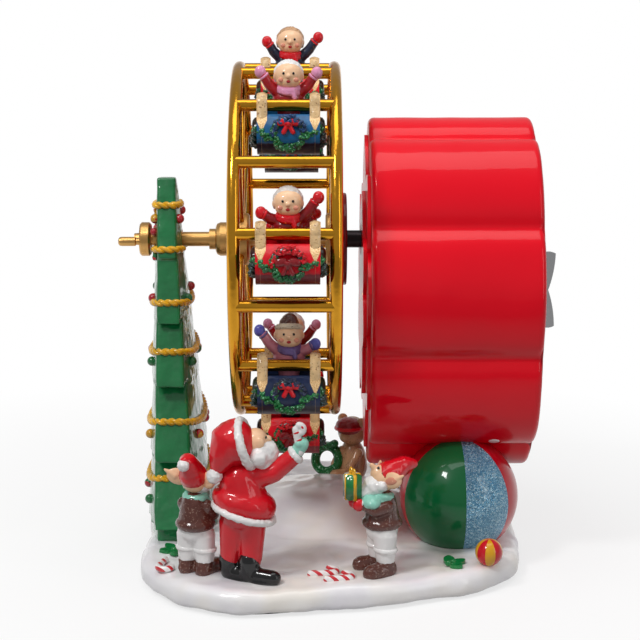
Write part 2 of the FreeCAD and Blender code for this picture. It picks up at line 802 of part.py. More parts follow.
def make_mainspring():
    """A flat strip wound in half turns, with its outer end on the drum and its inner end by the arbor."""
    outer = barrel_radius - barrel_wall
    inner = arbor_radius + running_gap + 0.2
    step = (outer - spring_strip - inner) / (2 * spring_turns)
    pieces = []
    width = barrel_length - 2 * barrel_wall - 1.0
    start = barrel_start + barrel_wall + 0.5
    radius = inner
    shift = 0.0
    side = 1
    for index in range(2 * spring_turns):
        ring = x_bar(radius + spring_strip, start, start + width, shift, arbor_height)
        ring = ring.cut(x_bar(radius, start - 1, start + width + 1, shift, arbor_height))
        low = arbor_height if side > 0 else arbor_height - 40
        pieces.append(ring.common(block(start, start + width, -40, 40, low, low + 40)))
        shift += side * step / 2
        radius += step / 2
        side = -side
    spring = fuse(pieces)
    return spring.common(x_bar(outer, start, start + width, 0, arbor_height))


def make_cylinder():
    """The pinned cylinder with its driving gear, its arbor and the wheel for the governor."""
    gear = spur_gear(gear_module, cylinder_gear_teeth, gear_width, gear_plane, cylinder_y, arbor_height,
                     180 + 180 / cylinder_gear_teeth, cylinder_pivot_radius)
    arbor = x_bar(cylinder_pivot_radius, cheek_front, cheek_rear + cheek_thickness, cylinder_y, arbor_height)
    drum = x_bar(cylinder_radius, barrel_start, barrel_start + barrel_length, cylinder_y, arbor_height)
    wheel = spur_gear(governor_module, governor_wheel_teeth, governor_gear_width, governor_plane,
                      cylinder_y, arbor_height, governor_angle, cylinder_pivot_radius)
    pins = []
    first = barrel_start + (barrel_length - comb_pitch * (comb_tooth_count - 1)) / 2
    for index in range(comb_tooth_count):
        x = first + index * comb_pitch
        turn = math.radians(137.5 * index)
        out = V(0, math.cos(turn), math.sin(turn))
        foot = V(x, cylinder_y, arbor_height) + out * (cylinder_radius - 0.4)
        pins.append(bar(foot, out, pin_radius, pin_height + 0.4))
    return fuse([arbor, gear, drum, wheel] + pins)


def make_governor():
    """The air brake that holds the speed: a pinion and a two-bladed fan on one arbor."""
    pinion = spur_gear(governor_module, governor_pinion_teeth, governor_gear_width, governor_plane,
                       governor_y, governor_z, governor_angle + 180 + 180 / governor_pinion_teeth, 1.0)
    arbor = x_bar(1.0, barrel_start - 2, cheek_rear + cheek_thickness, governor_y, governor_z)
    fan = block(barrel_start, barrel_start + barrel_length, governor_y - fan_radius, governor_y + fan_radius,
                governor_z - fan_thickness / 2, governor_z + fan_thickness / 2)
    return fuse([arbor, pinion, fan])


def comb_rest_near():
    return cylinder_y + cylinder_radius + pin_height + running_gap + comb_reach


def make_bedplate():
    """The cast frame: a floor, two cheeks with the pivots' holes, the comb's rest and the fan's bridge."""
    low = bedplate_top - bedplate_thickness
    floor = block(cheek_front, cheek_rear + cheek_thickness, bedplate_near, bedplate_far, low, bedplate_top)
    front = prism_x([(bedplate_near, low), (bedplate_far, low), (bedplate_far, arbor_height + 12),
                     (16, axle_height + 14), (-16, axle_height + 14), (bedplate_near, arbor_height + 12)],
                    cheek_front, cheek_thickness)
    rear = block(cheek_rear, cheek_rear + cheek_thickness, bedplate_near, bedplate_far,
                 low, arbor_height + 20)
    inner_cheek = shaft_end + running_gap
    shaft_cheek = block(inner_cheek, inner_cheek + cheek_thickness, -12, 12, arbor_height + 17.5,
                        axle_height + 14)
    shaft_tie = block(cheek_front, inner_cheek + cheek_thickness, -12, 12, axle_height + 14,
                      axle_height + 17)
    rest = block(barrel_start - 1, barrel_start + barrel_length + 1, comb_rest_near(),
                 bedplate_far, low, arbor_height + 1)
    bridge = block(barrel_start - 4, barrel_start - 1, governor_y - 3, governor_y + 3, low, governor_z + 4)
    frame = fuse([floor, front, rear, shaft_cheek, shaft_tie, rest, bridge])
    holes = [
        x_bar(shaft_radius + bearing_clearance, 50, shaft_end),
        x_bar(shaft_radius * 0.5 + bearing_clearance, shaft_end, 90),
        x_bar(arbor_radius + bearing_clearance, 50, 120, 0, arbor_height),
        x_bar(cylinder_pivot_radius + bearing_clearance, 50, 120, cylinder_y, arbor_height),
        x_bar(1.0 + bearing_clearance, 50, 120, governor_y, governor_z),
    ]
    for hole in holes:
        frame = frame.cut(hole)
    for y, z in cover_spots():
        frame = frame.cut(x_bar(screw_radius * 0.8, cheek_rear - 1, cheek_rear + 5, y, z))
    return frame


def make_comb():
    """The steel comb: a plate on its rest with one tooth for each note, longer toward the bass."""
    width = comb_pitch * comb_tooth_count
    first = barrel_start + (barrel_length - width) / 2
    tip = cylinder_y + cylinder_radius + pin_height + running_gap
    rest = comb_rest_near()
    z = arbor_height + 1
    plate = block(first - 1.5, first + width + 1.5, rest, bedplate_far - 2, z, z + comb_thickness * 1.6)
    teeth = []
    for index in range(comb_tooth_count):
        x = first + index * comb_pitch + comb_slot / 2
        teeth.append(block(x, x + comb_pitch - comb_slot, tip, rest + 1, z, z + comb_thickness))
    comb = fuse([plate] + teeth)
    for x, y in comb_screw_places():
        comb = comb.cut(bar(V(x, y, z - 1), AXIS_Z, screw_radius, 6))
    return comb


def comb_screw_places():
    """The comb's two screws, in the middle of the plate's depth."""
    y = (comb_rest_near() + bedplate_far - 2) / 2
    return [(x, y) for x in (barrel_start + 4, barrel_start + barrel_length - 4)]


def make_comb_screws():
    screws = []
    z = arbor_height + 1
    for x, y in comb_screw_places():
        foot = V(x, y, z)
        shank = bar(foot, AXIS_Z, screw_radius, comb_thickness * 1.6)
        head = bar(foot + V(0, 0, comb_thickness * 1.6), AXIS_Z, screw_head_radius, screw_head_height)
        screws.append(fuse([shank, head]))
    return Part.makeCompound(screws)


# Winding key
def make_key():
    """A two-winged butterfly key on the spring's arbor, with the ratchet wheel inside the frame."""
    start = housing_rear + key_gap
    boss = stepped([(0, key_boss_radius), (key_boss_length, key_boss_radius * 0.8),
                    (key_boss_length + 2, key_boss_radius * 0.55)], start, 0, arbor_height)
    arbor = x_bar(arbor_radius, cheek_front, start + 1, 0, arbor_height)
    ratchet = x_bar(6.0, barrel_start + barrel_length + 2, barrel_start + barrel_length + 4.5, 0, arbor_height)
    wings = []
    for side in (-1, 1):
        def corner(run, rise):
            return V(start + run, -key_wing_thickness / 2, arbor_height + side * rise)
        root = corner(0.5, 0.0)
        shoulder = corner(1.0, key_boss_radius + 2)
        inner_tip = corner(key_tip_inner, key_wing_span / 2 - 1.5)
        crown = corner((key_tip_inner + key_tip_outer) / 2, key_wing_span / 2)
        outer_tip = corner(key_tip_outer, key_wing_span / 2 - 1.0)
        hollow = corner(key_tip_outer - 0.9, key_wing_span / 4)
        waist = corner(key_waist, 0.0)
        edges = [
            Part.makeLine(root, shoulder), Part.makeLine(shoulder, inner_tip),
            Part.Arc(inner_tip, crown, outer_tip).toShape(), Part.Arc(outer_tip, hollow, waist).toShape(),
            Part.makeLine(waist, root),
        ]
        wings.append(Part.Face(Part.Wire(edges)).extrude(V(0, key_wing_thickness, 0)))
    return fuse([boss, arbor, ratchet] + wings)


# Figures standing on the snow; each is cast in one piece
def boot(x, y, foot, heading, length, height, radius):
    """A rounded boot with its toe along a heading in degrees and a short upright leg."""
    turn = math.radians(heading)
    toe = V(math.cos(turn), math.sin(turn), 0)
    ankle = V(x, y, foot + height)
    heel = V(x, y, foot + radius)
    sole = limb(heel, heel + toe * length, radius, radius * 0.92)
    return fuse([sole, limb(heel, ankle, radius, radius * 0.9)])


def ear(x, y, z, side_turn, length=5.0):
    """A pointed elf's ear, leaning back and outward."""
    shape = leaf(length, length * 0.34, 1.8)
    turn = math.radians(side_turn)
    out = V(math.cos(turn), math.sin(turn), 0.25)
    out.normalize()
    up = V(-math.sin(turn), math.cos(turn), 0)
    return laid(shape, V(x, y, z), out, up)


def make_figure_red_coat(snow):
    """A stout bearded man in a long red coat, seen from behind, with one arm raised to the wheel."""
    x, y, foot = figure_x, figure_y, snow_height - 1.0
    legs = fuse([
        boot(x - 5.5, y + 2, foot, -20, 8.5, 10, 5.0),
        boot(x + 4.5, y - 3, foot, -35, 8.5, 10, 5.0),
        limb(V(x - 5.0, y + 2, foot + 12), V(x - 4.5, y + 1, foot + 30), 5.2, 6.6),
        limb(V(x + 4.0, y - 2, foot + 12), V(x + 3.5, y - 1, foot + 30), 5.2, 6.6),
    ])
    coat = turned([(13.0, 24.0), (16.6, 24.6), (17.6, 27.2), (16.8, 30.4), (14.6, 31.6), (14.2, 38.0),
                   (13.2, 46.0), (11.0, 54.0), (6.5, 60.0), (2.0, 63.0)], V(x, y, foot), V(0.11, 0.03, 1))
    arms = [
        limb(V(x + 6.6, y, foot + 54.0), V(x + 20.0, y - 1.5, foot + 57.0), 5.4, 4.4),
        limb(V(x + 20.0, y - 1.5, foot + 57.2), V(x + 26.5, y - 2.0, foot + 64.0), 4.3, 3.8),
        limb(V(x - 6.0, y - 4.0, foot + 54.0), V(x - 6.0, y - 12.0, foot + 43.0), 4.8, 4.2),
        ball(x - 3.5, y - 14.0, foot + 40.5, 3.8),
    ]
    hand = V(x + 30.0, y - 2.0, foot + 70.5)
    mittens = fuse([
        Part.makeTorus(3.4, 1.7, V(x + 27.0, y - 2.0, foot + 64.9), V(0.68, 0, 0.73)),
        limb(V(x + 27.0, y - 2.0, foot + 65.0), hand, 3.7, 3.3),
        limb(hand + V(-1.0, 0, 1.5), hand + V(-3.0, 0, 8.0), 1.5, 1.5),
        limb(hand + V(-3.0, 0, 8.1), hand + V(2.0, 0, 9.0), 1.45, 1.45),
    ])
    head = fuse([
        ball(x + 2.5, y, foot + 68.0, 10.4),
        ball(x + 9.0, y + 2.0, foot + 67.5, 6.8),
        limb(V(x + 9.0, y + 1.0, foot + 65.0), V(x + 11.0, y + 1.0, foot + 56.0), 6.6, 4.2),
        Part.makeTorus(10.2, 2.1, V(x + 3.6, y + 0.2, foot + 70.5), V(-0.62, -0.08, 1)),
    ])
    hat = fuse([
        turned([(10.9, 0.0), (11.3, 4.0), (10.6, 9.0), (8.4, 13.5), (4.2, 16.6), (0.8, 17.3)],
               V(x + 2.2, y, foot + 69.0), V(-0.42, -0.06, 1)),
        limb(V(x - 7.0, y - 1.5, foot + 77.0), V(x - 12.0, y - 3.0, foot + 59.0), 8.2, 5.0),
        ball(x - 14.0, y - 4.5, foot + 54.0, 4.0),
    ])
    whole = coat
    for piece in arms + [head, hat, mittens, legs]:
        whole = whole.fuse(piece)
    return whole.removeSplitter().cut(snow)


def make_elf(x, y, heading, look_up, gift, snow):
    """A small bearded elf: boots, breeches, coat, scarf, big ears and a pointed hat."""
    foot = snow_height - 0.8
    turn = math.radians(heading)
    ahead = V(math.cos(turn), math.sin(turn), 0)
    aside = V(-math.sin(turn), math.cos(turn), 0)
    here = V(x, y, foot)
    pieces = []
    for side in (-1, 1):
        place = here + aside * (side * 4.3)
        pieces.append(boot(place.x, place.y, foot, heading + side * 12, 6.5, 5.5, 4.2))
        pieces.append(limb(place + V(0, 0, 9), place + V(0, 0, 22) - aside * (side * 0.6), 4.4, 6.0))
    pieces.append(turned([(9.8, 23.0), (10.2, 27.0), (9.2, 33.0), (7.0, 39.0), (3.0, 42.5)],
                         V(x, y, foot), V(0, 0, 1)))
    head = here + V(0, 0, 49) - ahead * 0.5
    nose = head + ahead * 7.6 + V(0, 0, 1.0 + 4.0 * look_up)
    chin = head + ahead * (6.0 + 2.5 * look_up) - V(0, 0, 4.5)
    hat_lean = ahead * (-0.25 - 0.75 * look_up)
    hat_foot = head - ahead * (1.0 + 1.5 * look_up) + V(0, 0, 2.5 - 0.5 * look_up)
    pieces.append(Part.makeTorus(5.6, 2.5, here + V(0, 0, 40.5) + ahead * 1.5, V(ahead.x * -0.2, ahead.y * -0.2, 1)))
    pieces.append(Part.makeSphere(7.2, head))
    pieces.append(limb(head + ahead * 3.0 - V(0, 0, 1.0), chin, 5.8, 4.6))
    pieces.append(limb(nose - ahead * 2.0, nose, 1.8, 1.4))
    pieces.append(turned([(7.6, 0.0), (7.9, 3.0), (6.6, 8.0), (4.6, 13.0), (2.6, 17.0), (0.8, 18.6)],
                         hat_foot, hat_lean + V(0, 0, 1)))
    for side in (-1, 1):
        lobe = head + aside * (side * 6.4)
        away = heading + 180 - side * 62
        pieces.append(ear(lobe.x, lobe.y, lobe.z - 1.0, away, 8.0))
    for side in (-1, 1):
        shoulder = here + aside * (side * 7.0) + V(0, 0, 36)
        if gift:
            palm = here + ahead * 12.5 + aside * (side * 2.6) + V(0, 0, 38)
        else:
            palm = here + ahead * 8.5 + aside * (side * 5.0) + V(0, 0, 30)
        pieces.append(limb(shoulder, palm, 3.5, 2.9))
        pieces.append(Part.makeSphere(3.3, palm + ahead * 1.5))
    if gift:
        box = Part.makeBox(7.5, 7.5, 13.0, V(-3.75, -3.75, 0))
        box.Placement = FreeCAD.Placement(here + ahead * 16.0 + V(0, 0, 40), FreeCAD.Rotation(AXIS_Z, heading))
        pieces.append(box)
    return fuse(pieces).cut(snow)


# Toys round the housing
def make_toy_balls(snow, housing_block, housing_petals):
    """Two big balls, near and far, sunk a little in the snow; the housing rests on them."""
    balls = []
    for side in (-1, 1):
        whole = ball(toy_ball_x, side * toy_ball_y, toy_ball_z, toy_ball_radius)
        balls.append(whole.cut(snow).cut(housing_block).cut(housing_petals))
    return Part.makeCompound(balls)


def make_teddy(snow, housing_block):
    """A seated bear in a red jersey and cap, half hidden behind the wheel."""
    x, y = teddy_x, teddy_y
    foot = mound_level(x, y) - 2.0
    pieces = [
        turned([(6.0, 0.0), (8.6, 5.0), (8.8, 11.0), (7.0, 18.0), (3.4, 23.0)], V(x, y, foot)),
        ball(x, y - 0.5, foot + 29.0, 8.6),
        ball(x - 4.0, y - 5.5, foot + 27.0, 3.8),
        ball(x - 5.5, y + 5.8, foot + 35.0, 3.0),
        ball(x + 5.0, y - 6.0, foot + 35.0, 3.0),
        Part.makeTorus(6.6, 1.5, V(x + 0.6, y, foot + 33.4), V(0.2, 0.1, 1)),
        turned([(6.6, 0.0), (6.0, 3.4), (3.6, 6.2), (0.6, 7.0)], V(x + 0.8, y, foot + 33.4), V(0.2, 0.1, 1)),
        limb(V(x - 3.0, y - 5.0, foot + 4.0), V(x - 10.0, y - 9.0, foot + 4.0), 3.8, 3.6),
        limb(V(x + 1.0, y - 7.0, foot + 4.0), V(x - 3.0, y - 15.0, foot + 4.0), 3.8, 3.6),
        limb(V(x - 6.0, y - 2.0, foot + 17.0), V(x - 10.0, y - 5.0, foot + 10.0), 3.2, 2.8),
        limb(V(x + 3.0, y - 6.5, foot + 17.0), V(x - 1.0, y - 11.0, foot + 10.0), 3.2, 2.8),
    ]
    return fuse(pieces).cut(snow).cut(housing_block)


def make_wreath(snow, teddy):
    """A small fir wreath with a bow, leaning back against the bear."""
    foot = mound_level(wreath_x, wreath_y)
    tilt = V(-0.5, -1.0, 0.35)
    centre = V(wreath_x, wreath_y, foot + 9.0)
    knot = centre + V(-0.5, -0.9, 8.1)
    whole = Part.makeTorus(7.4, 2.8, centre, tilt).fuse(Part.makeSphere(2.2, knot))
    for side in (-1, 1):
        end = knot + V(side * 5.0, -side * 2.4, 2.0)
        whole = whole.fuse(limb(knot, end, 1.2, 2.3))
    return whole.removeSplitter().cut(snow).cut(teddy)


def make_cane(x, y, heading, snow):
    """A hooked sugar cane lying on the snow."""
    lie = snow_height + cane_radius * 0.7
    turn = math.radians(heading)
    along = V(math.cos(turn), math.sin(turn), 0)
    aside = V(-math.sin(turn), math.cos(turn), 0)
    foot = V(x, y, lie)
    stick = cone(foot, foot + along * cane_length, cane_radius, cane_radius)
    centre = foot + along * cane_length + aside * cane_hook_radius
    ring = Part.makeTorus(cane_hook_radius, cane_radius, centre)
    half = Part.makeBox(20, 40, 10, V(0, -20, -5))
    half.Placement = FreeCAD.Placement(centre, FreeCAD.Rotation(AXIS_Z, heading))
    tip = centre + aside * cane_hook_radius
    ends = [Part.makeSphere(cane_radius, foot), Part.makeSphere(cane_radius, tip)]
    return fuse([stick, ring.common(half)] + ends).cut(snow)


def make_canes(snow):
    places = ((20.0, -107.0, 8.0), (12.0, -99.0, 4.0), (-62.0, -78.0, -105.0))
    canes = []
    for x, y, heading in places:
        cane = make_cane(x, y, heading, snow)
        for other in canes:
            cane = cane.cut(other)
        canes.extend(cane.Solids)
    return Part.makeCompound(canes)


def make_holly_sprig(x, y, heading, snow):
    """Three leaves and two berries pressed into the snow."""
    lie = snow_height - 0.6
    pieces = []
    for turn in (-70, 0, 70):
        blade = leaf(9.0, 2.9, 1.8)
        pieces.append(placed(blade, V(x, y, lie), heading + turn, 8.0))
    pieces.append(ball(x - 0.8, y - 0.8, lie + 1.8, 1.7))
    pieces.append(ball(x + 1.6, y + 1.2, lie + 1.8, 1.7))
    return fuse(pieces).cut(snow)


def make_sprigs(snow, toy_balls):
    places = ((83.0, -84.0, 20.0), (-58.0, -62.0, 200.0))
    sprigs = [make_holly_sprig(x, y, heading, snow).cut(toy_balls) for x, y, heading in places]
    return Part.makeCompound(sprigs)


def make_striped_ball(snow):
    return ball(striped_ball_x, striped_ball_y, snow_height + striped_ball_radius - 0.8,
                striped_ball_radius).cut(snow)


def main():
    os.makedirs("parts", exist_ok=True)
    snow = make_snow()
    save(snow, "snow_base")
    save(make_felt(), "underside_felt")

    tiers = make_tiers()
    tree = fuse(tiers)
    tree_back = face_of(tree, 0, axle_height, 1)
    tree_front = face_of(tree, 0, axle_height, -1)
    tree_bush = make_bush(tree_front + bush_flange * 0.5, tree_back - 0.5, -1)
    tree_hole = x_bar(axle_radius + bearing_clearance + bush_wall, -100, 0)
    tree = tree.cut(tree_hole).cut(tree_bush)
    axle_room = x_bar(collar_radius + running_gap + bush_flange, tree_front_foot - 10, 0)
    rosette = make_holly_rosette(tree, axle_room)
    garlands = make_garlands(tree).cut(axle_room).cut(rosette)
    save(tree, "tree")
    save(garlands, "tree_garlands")
    beads = make_tree_ornaments(tiers, garlands.Solids + rosette.Solids)
    save(Part.makeCompound(beads + rosette.Solids), "tree_ornaments")
    save(tree_bush, "tree_bush")

    ring_front = make_ring(-1)
    ring_rear = make_ring(1)
    hub_front = make_hub(-1)
    hub_rear = make_hub(1)
    save(ring_front, "ring_front")
    save(ring_rear, "ring_rear")
    save(hub_front, "hub_front")
    save(hub_rear, "hub_rear")
    half_pitch = 180 / gondola_count
    rungs = make_rungs(wheel_phase, (ring_front, ring_rear))
    save(rungs, "gondola_rungs")
    save(make_rungs(wheel_phase + half_pitch, (ring_front, ring_rear)), "brace_rungs")
    save(make_spokes(-1, ring_front, hub_front, rungs), "spokes_front")
    save(make_spokes(1, ring_rear, hub_rear, rungs), "spokes_rear")
    save(make_wheel_disc(), "wheel_disc")
    save(make_axle(), "axle")
    save(make_collar(tree_back - 0.5), "axle_collar")
    disc = make_crank_disc()
    save(disc, "crank_disc")
    save(make_crank_pin(disc), "crank_pin")
    save(make_drive_shaft(), "drive_shaft")
    save(make_wheel_gear(), "wheel_gear")

    car = make_car()
    riders = [make_rider(style).cut(car) for style in rider_styles]
    for index in range(gondola_count):
        place = spot(wheel_phase + 360 / gondola_count * index) + V(gondola_shift, 0, 0)
        hung = car.copy()
        hung.translate(place)
        save(hung, "gondola_%d" % (index + 1))
        rider = riders[index % len(riders)].copy()
        rider.translate(place)
        save(rider, "rider_%d" % (index + 1))

    housing_block = make_housing_block()
    petals = make_petals()
    save(make_housing(housing_block), "housing")
    save(petals, "housing_petals")
    save(make_bush(housing_front, housing_front + housing_wall, -1), "housing_bush")
    save(make_cover(), "movement_cover")
    save(make_cover_screws(), "cover_screws")

    save(make_bedplate(), "bedplate")
    save(make_comb(), "comb")
    save(make_comb_screws(), "comb_screws")
    save(make_barrel(), "spring_barrel")
    save(make_mainspring(), "mainspring")
    save(make_cylinder(), "music_cylinder")
    save(make_governor(), "governor")
    save(make_key(), "winding_key")

    toy_balls = make_toy_balls(snow, housing_block, petals)
    teddy = make_teddy(snow, housing_block.fuse(petals))
    save(toy_balls, "toy_balls")
    save(teddy, "teddy_bear")
    save(make_wreath(snow, teddy), "wreath")
    figure = make_figure_red_coat(snow)
    save(figure, "figure_red_coat")
    save(make_elf(elf_left_x, elf_left_y, 65, 0.2, False, snow).cut(figure), "elf_left")
    save(make_elf(elf_right_x, elf_right_y, 200, 0.8, True, snow), "elf_right")
    save(make_canes(snow), "candy_canes")
    save(make_sprigs(snow, toy_balls), "holly_sprigs")
    save(make_striped_ball(snow), "striped_ball")


main()
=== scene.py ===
import bpy, bmesh, math
from mathutils import Matrix, Vector, noise
from mathutils.bvhtree import BVHTree


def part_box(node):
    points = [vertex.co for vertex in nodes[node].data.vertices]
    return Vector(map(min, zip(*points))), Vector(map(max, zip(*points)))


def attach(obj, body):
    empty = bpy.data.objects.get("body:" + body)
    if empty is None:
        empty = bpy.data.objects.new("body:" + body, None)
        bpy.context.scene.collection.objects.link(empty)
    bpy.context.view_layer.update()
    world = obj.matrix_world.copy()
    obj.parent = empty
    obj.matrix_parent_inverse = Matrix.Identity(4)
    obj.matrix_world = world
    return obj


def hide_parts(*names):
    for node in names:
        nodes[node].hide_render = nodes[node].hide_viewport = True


# A wind-up musical ferris wheel in varnished cast resin, gold plate and brass, dressed over its solids.
# Forms are in millimetres and become metres where a piece is made; shaders measure in metres.

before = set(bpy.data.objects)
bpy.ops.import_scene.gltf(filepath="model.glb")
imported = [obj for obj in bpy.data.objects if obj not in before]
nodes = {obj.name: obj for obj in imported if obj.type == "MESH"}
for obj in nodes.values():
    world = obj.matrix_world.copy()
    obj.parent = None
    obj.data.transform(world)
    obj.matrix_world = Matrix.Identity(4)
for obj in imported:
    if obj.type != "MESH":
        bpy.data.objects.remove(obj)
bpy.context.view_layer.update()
MM = 0.001
UP = Vector((0, 0, 1))
SIDES = (-1, 1)


# Shader nodes and colours
def plug(tree, node, inputs):
    """Links each input that is a socket and sets any other."""
    for name, value in inputs.items():
        if isinstance(value, bpy.types.NodeSocket):
            tree.links.new(value, node.inputs[name])
        else:
            node.inputs[name].default_value = value


def add(tree, kind, settings=None, inputs=None):
    node = tree.nodes.new(kind)
    for name, value in (settings or {}).items():
        setattr(node, name, value)
    plug(tree, node, inputs or {})
    return node


def made(tree, kind, settings=None, inputs=None):
    """The first output of a new node."""
    return add(tree, kind, settings, inputs).outputs[0]


def maths(tree, operation, *values):
    return made(tree, "ShaderNodeMath", {"operation": operation}, dict(enumerate(values)))


def vector_maths(tree, operation, inputs):
    return made(tree, "ShaderNodeVectorMath", {"operation": operation}, inputs)


def split(tree, vector):
    """The X, Y and Z outputs of a vector."""
    return add(tree, "ShaderNodeSeparateXYZ", inputs={0: vector}).outputs


def span(tree, value, start, end, low=0.0, high=1.0):
    """Carries a value from one range over to another and holds it at both ends."""
    return made(tree, "ShaderNodeMapRange", inputs={"Value": value, "From Min": start, "From Max": end,
                                                    "To Min": low, "To Max": high})


def mottling(tree, place, scale, detail=2.0):
    return made(tree, "ShaderNodeTexNoise", inputs={"Vector": place, "Scale": scale, "Detail": detail})


def bump(tree, height, strength, distance, under=None):
    """Relief of a height in metres, over the relief under it if there is one."""
    inputs = {"Height": height, "Strength": strength, "Distance": distance}
    if under is not None:
        inputs["Normal"] = under
    return made(tree, "ShaderNodeBump", inputs=inputs)


def blend(tree, share, first, second):
    return add(tree, "ShaderNodeMix", {"data_type": "RGBA"}, {0: share, 6: first, 7: second}).outputs[2]


def colour(hex_value):
    """An sRGB hex value as linear RGBA."""
    levels = [int(hex_value[start:start + 2], 16) / 255 for start in (0, 2, 4)]
    return (*(level / 12.92 if level <= 0.04045 else ((level + 0.055) / 1.055) ** 2.4 for level in levels), 1.0)


def shade(rgba, factor):
    return (*(level * factor for level in rgba[:3]), 1.0)


def ramp(tree, factor, stops, interpolation="LINEAR"):
    """A colour ramp from (position, hex value or linear colour) stops."""
    node = add(tree, "ShaderNodeValToRGB", inputs={"Fac": factor})
    node.color_ramp.interpolation = interpolation
    elements = node.color_ramp.elements
    while len(elements) < len(stops):
        elements.new(0.5)
    for element, (position, value) in zip(elements, stops):
        element.position = position
        element.color = colour(value) if isinstance(value, str) else value
    return node.outputs["Color"]


def new_material(name):
    material = bpy.data.materials.new(name)
    material.use_nodes = True
    tree = material.node_tree
    tree.nodes.clear()
    shader = add(tree, "ShaderNodeBsdfPrincipled")
    add(tree, "ShaderNodeOutputMaterial", inputs={"Surface": shader.outputs[0]})
    place = add(tree, "ShaderNodeTexCoord").outputs["Object"]
    return material, tree, shader, place


# Finishes
def resin_paint(name, hex_value, mottle=0.12, wave=0.35, coat=0.75, roughness=0.42, speck=None):
    """Brushed enamel on cast resin: uneven pigment, and a clear varnish whose waves break up each highlight."""
    material, tree, shader, place = new_material(name + "_resin_paint")
    base = colour(hex_value)
    patches = mottling(tree, place, 110.0, 4.0)
    tint = ramp(tree, patches, [(0.32, shade(base, 1 - mottle)), (0.68, shade(base, 1 + mottle * 0.5))])
    if speck:
        dots = span(tree, mottling(tree, place, 950.0), 0.60, 0.68)
        tint = blend(tree, dots, tint, colour(speck))
    waves = bump(tree, mottling(tree, place, 170.0, 1.0), wave, 0.0006)
    brushed = bump(tree, mottling(tree, place, 1400.0), 0.10, 0.0002, waves)
    plug(tree, shader, {"Base Color": tint, "Normal": brushed, "Coat Normal": brushed, "Roughness": roughness,
                        "Specular IOR Level": 0.2, "Coat Weight": coat, "Coat Roughness": 0.05, "IOR": 1.5})
    return material


def plated_metal(name, hex_value, roughness, cloud, wave=0.25, grain=0.0, axis=(1, 1, 1)):
    """Plated or lacquered metal: clouds in the polish, soft casting waves, and brushing along one axis."""
    material, tree, shader, place = new_material(name)
    base = colour(hex_value)
    clouds = mottling(tree, place, 55.0, 5.0)
    relief = bump(tree, mottling(tree, place, 260.0, 1.0), wave, 0.0004)
    if grain:
        stretched = made(tree, "ShaderNodeMapping", {"vector_type": "TEXTURE"}, {"Vector": place, "Scale": axis})
        relief = bump(tree, mottling(tree, stretched, 1500.0), grain, 0.0002, relief)
    plug(tree, shader, {"Base Color": ramp(tree, clouds, [(0.3, shade(base, 1 - cloud)), (0.7, base)]),
                        "Roughness": span(tree, clouds, 0.3, 0.7, roughness * 1.5, roughness),
                        "Normal": relief, "Metallic": 1.0})
    return material


def lacquer(name, hex_value, wave):
    """Thick sprayed lacquer: one flat colour, deep gloss, and long waves that bend its reflections."""
    material, tree, shader, place = new_material(name)
    base = colour(hex_value)
    drift = mottling(tree, place, 14.0)
    long_wave = bump(tree, drift, wave, 0.004)
    orange_peel = bump(tree, mottling(tree, place, 700.0, 1.0), 0.05, 0.0002, long_wave)
    plug(tree, shader, {"Base Color": ramp(tree, drift, [(0.3, shade(base, 0.94)), (0.7, base)]),
                        "Normal": orange_peel, "Coat Normal": orange_peel, "Roughness": 0.35,
                        "Specular IOR Level": 0.1, "Coat Weight": 0.38, "Coat Roughness": 0.04})
    return material


def snow_paint():
    """Cast snow: white resin with broad hand-made dimples under the varnish, and a faint pearly look that is painted
    light: lavender-grey painted shade in the hollows and a cream painted sheen on the mounds.
    """
    material, tree, shader, place = new_material("snow_painted_shade_and_sheen_resin_paint")
    broad = mottling(tree, place, 28.0)
    dimples = bump(tree, broad, 0.55, 0.004)
    # Painted shade and sheen: the tint follows the dimples' height, lavender-grey where they sink and cream where
    # they rise
    plug(tree, shader, {"Base Color": ramp(tree, broad, [(0.34, "EAE6EE"), (0.5, "F5F3F5"), (0.68, "F6F1EA")]),
                        "Normal": bump(tree, mottling(tree, place, 420.0, 3.0), 0.12, 0.0005, dimples),
                        "Coat Normal": dimples, "Roughness": 0.42, "Coat Weight": 0.7, "Coat Roughness": 0.12})
    return material


def felt():
    """Short felt under the base: matte fibres that stand up a little."""
    material, tree, shader, place = new_material("charcoal_felt")
    fibres = mottling(tree, place, 1200.0, 4.0)
    plug(tree, shader, {"Base Color": ramp(tree, fibres, [(0.35, "1F1E20"), (0.65, "3B3A3D")]),
                        "Normal": bump(tree, fibres, 0.6, 0.0005), "Roughness": 0.95, "Sheen Weight": 0.3})
    return material


def ornament_paint():
    """Beads and rosettes in red, gold and green: each is dipped in one of the three paints."""
    material, tree, shader, place = new_material("bead_resin_paints")
    cells = add(tree, "ShaderNodeTexVoronoi", inputs={"Vector": place, "Scale": 70.0}).outputs["Color"]
    pick = made(tree, "ShaderNodeSeparateColor", inputs={0: cells})
    tint = ramp(tree, pick, [(0.0, "C8102A"), (0.38, "0A6A34"), (0.66, "D59A1C"), (0.84, "B00A20")], "CONSTANT")
    plug(tree, shader, {"Base Color": tint, "Normal": bump(tree, mottling(tree, place, 500.0), 0.3, 0.0004),
                        "Roughness": 0.3, "Coat Weight": 0.6, "Coat Roughness": 0.05})
    return material


def candy_paint():
    """Sugar cane: white resin with red bands painted across it."""
    material, tree, shader, place = new_material("sugar_cane_resin_paint")
    bands = add(tree, "ShaderNodeTexWave", {"wave_type": "BANDS", "bands_direction": "DIAGONAL"},
                {"Vector": place, "Scale": 95.0, "Distortion": 0.6}).outputs["Fac"]
    plug(tree, shader, {"Base Color": ramp(tree, bands, [(0.60, "F4F1F0"), (0.66, "CF1022")]),
                        "Roughness": 0.35, "Coat Weight": 0.8, "Coat Roughness": 0.08})
    return material


def own_axes(tree, place, origin):
    """X, Y and Z measured from an origin that is given in millimetres."""
    return split(tree, vector_maths(tree, "SUBTRACT", {0: place, 1: tuple(value * MM for value in origin)}))


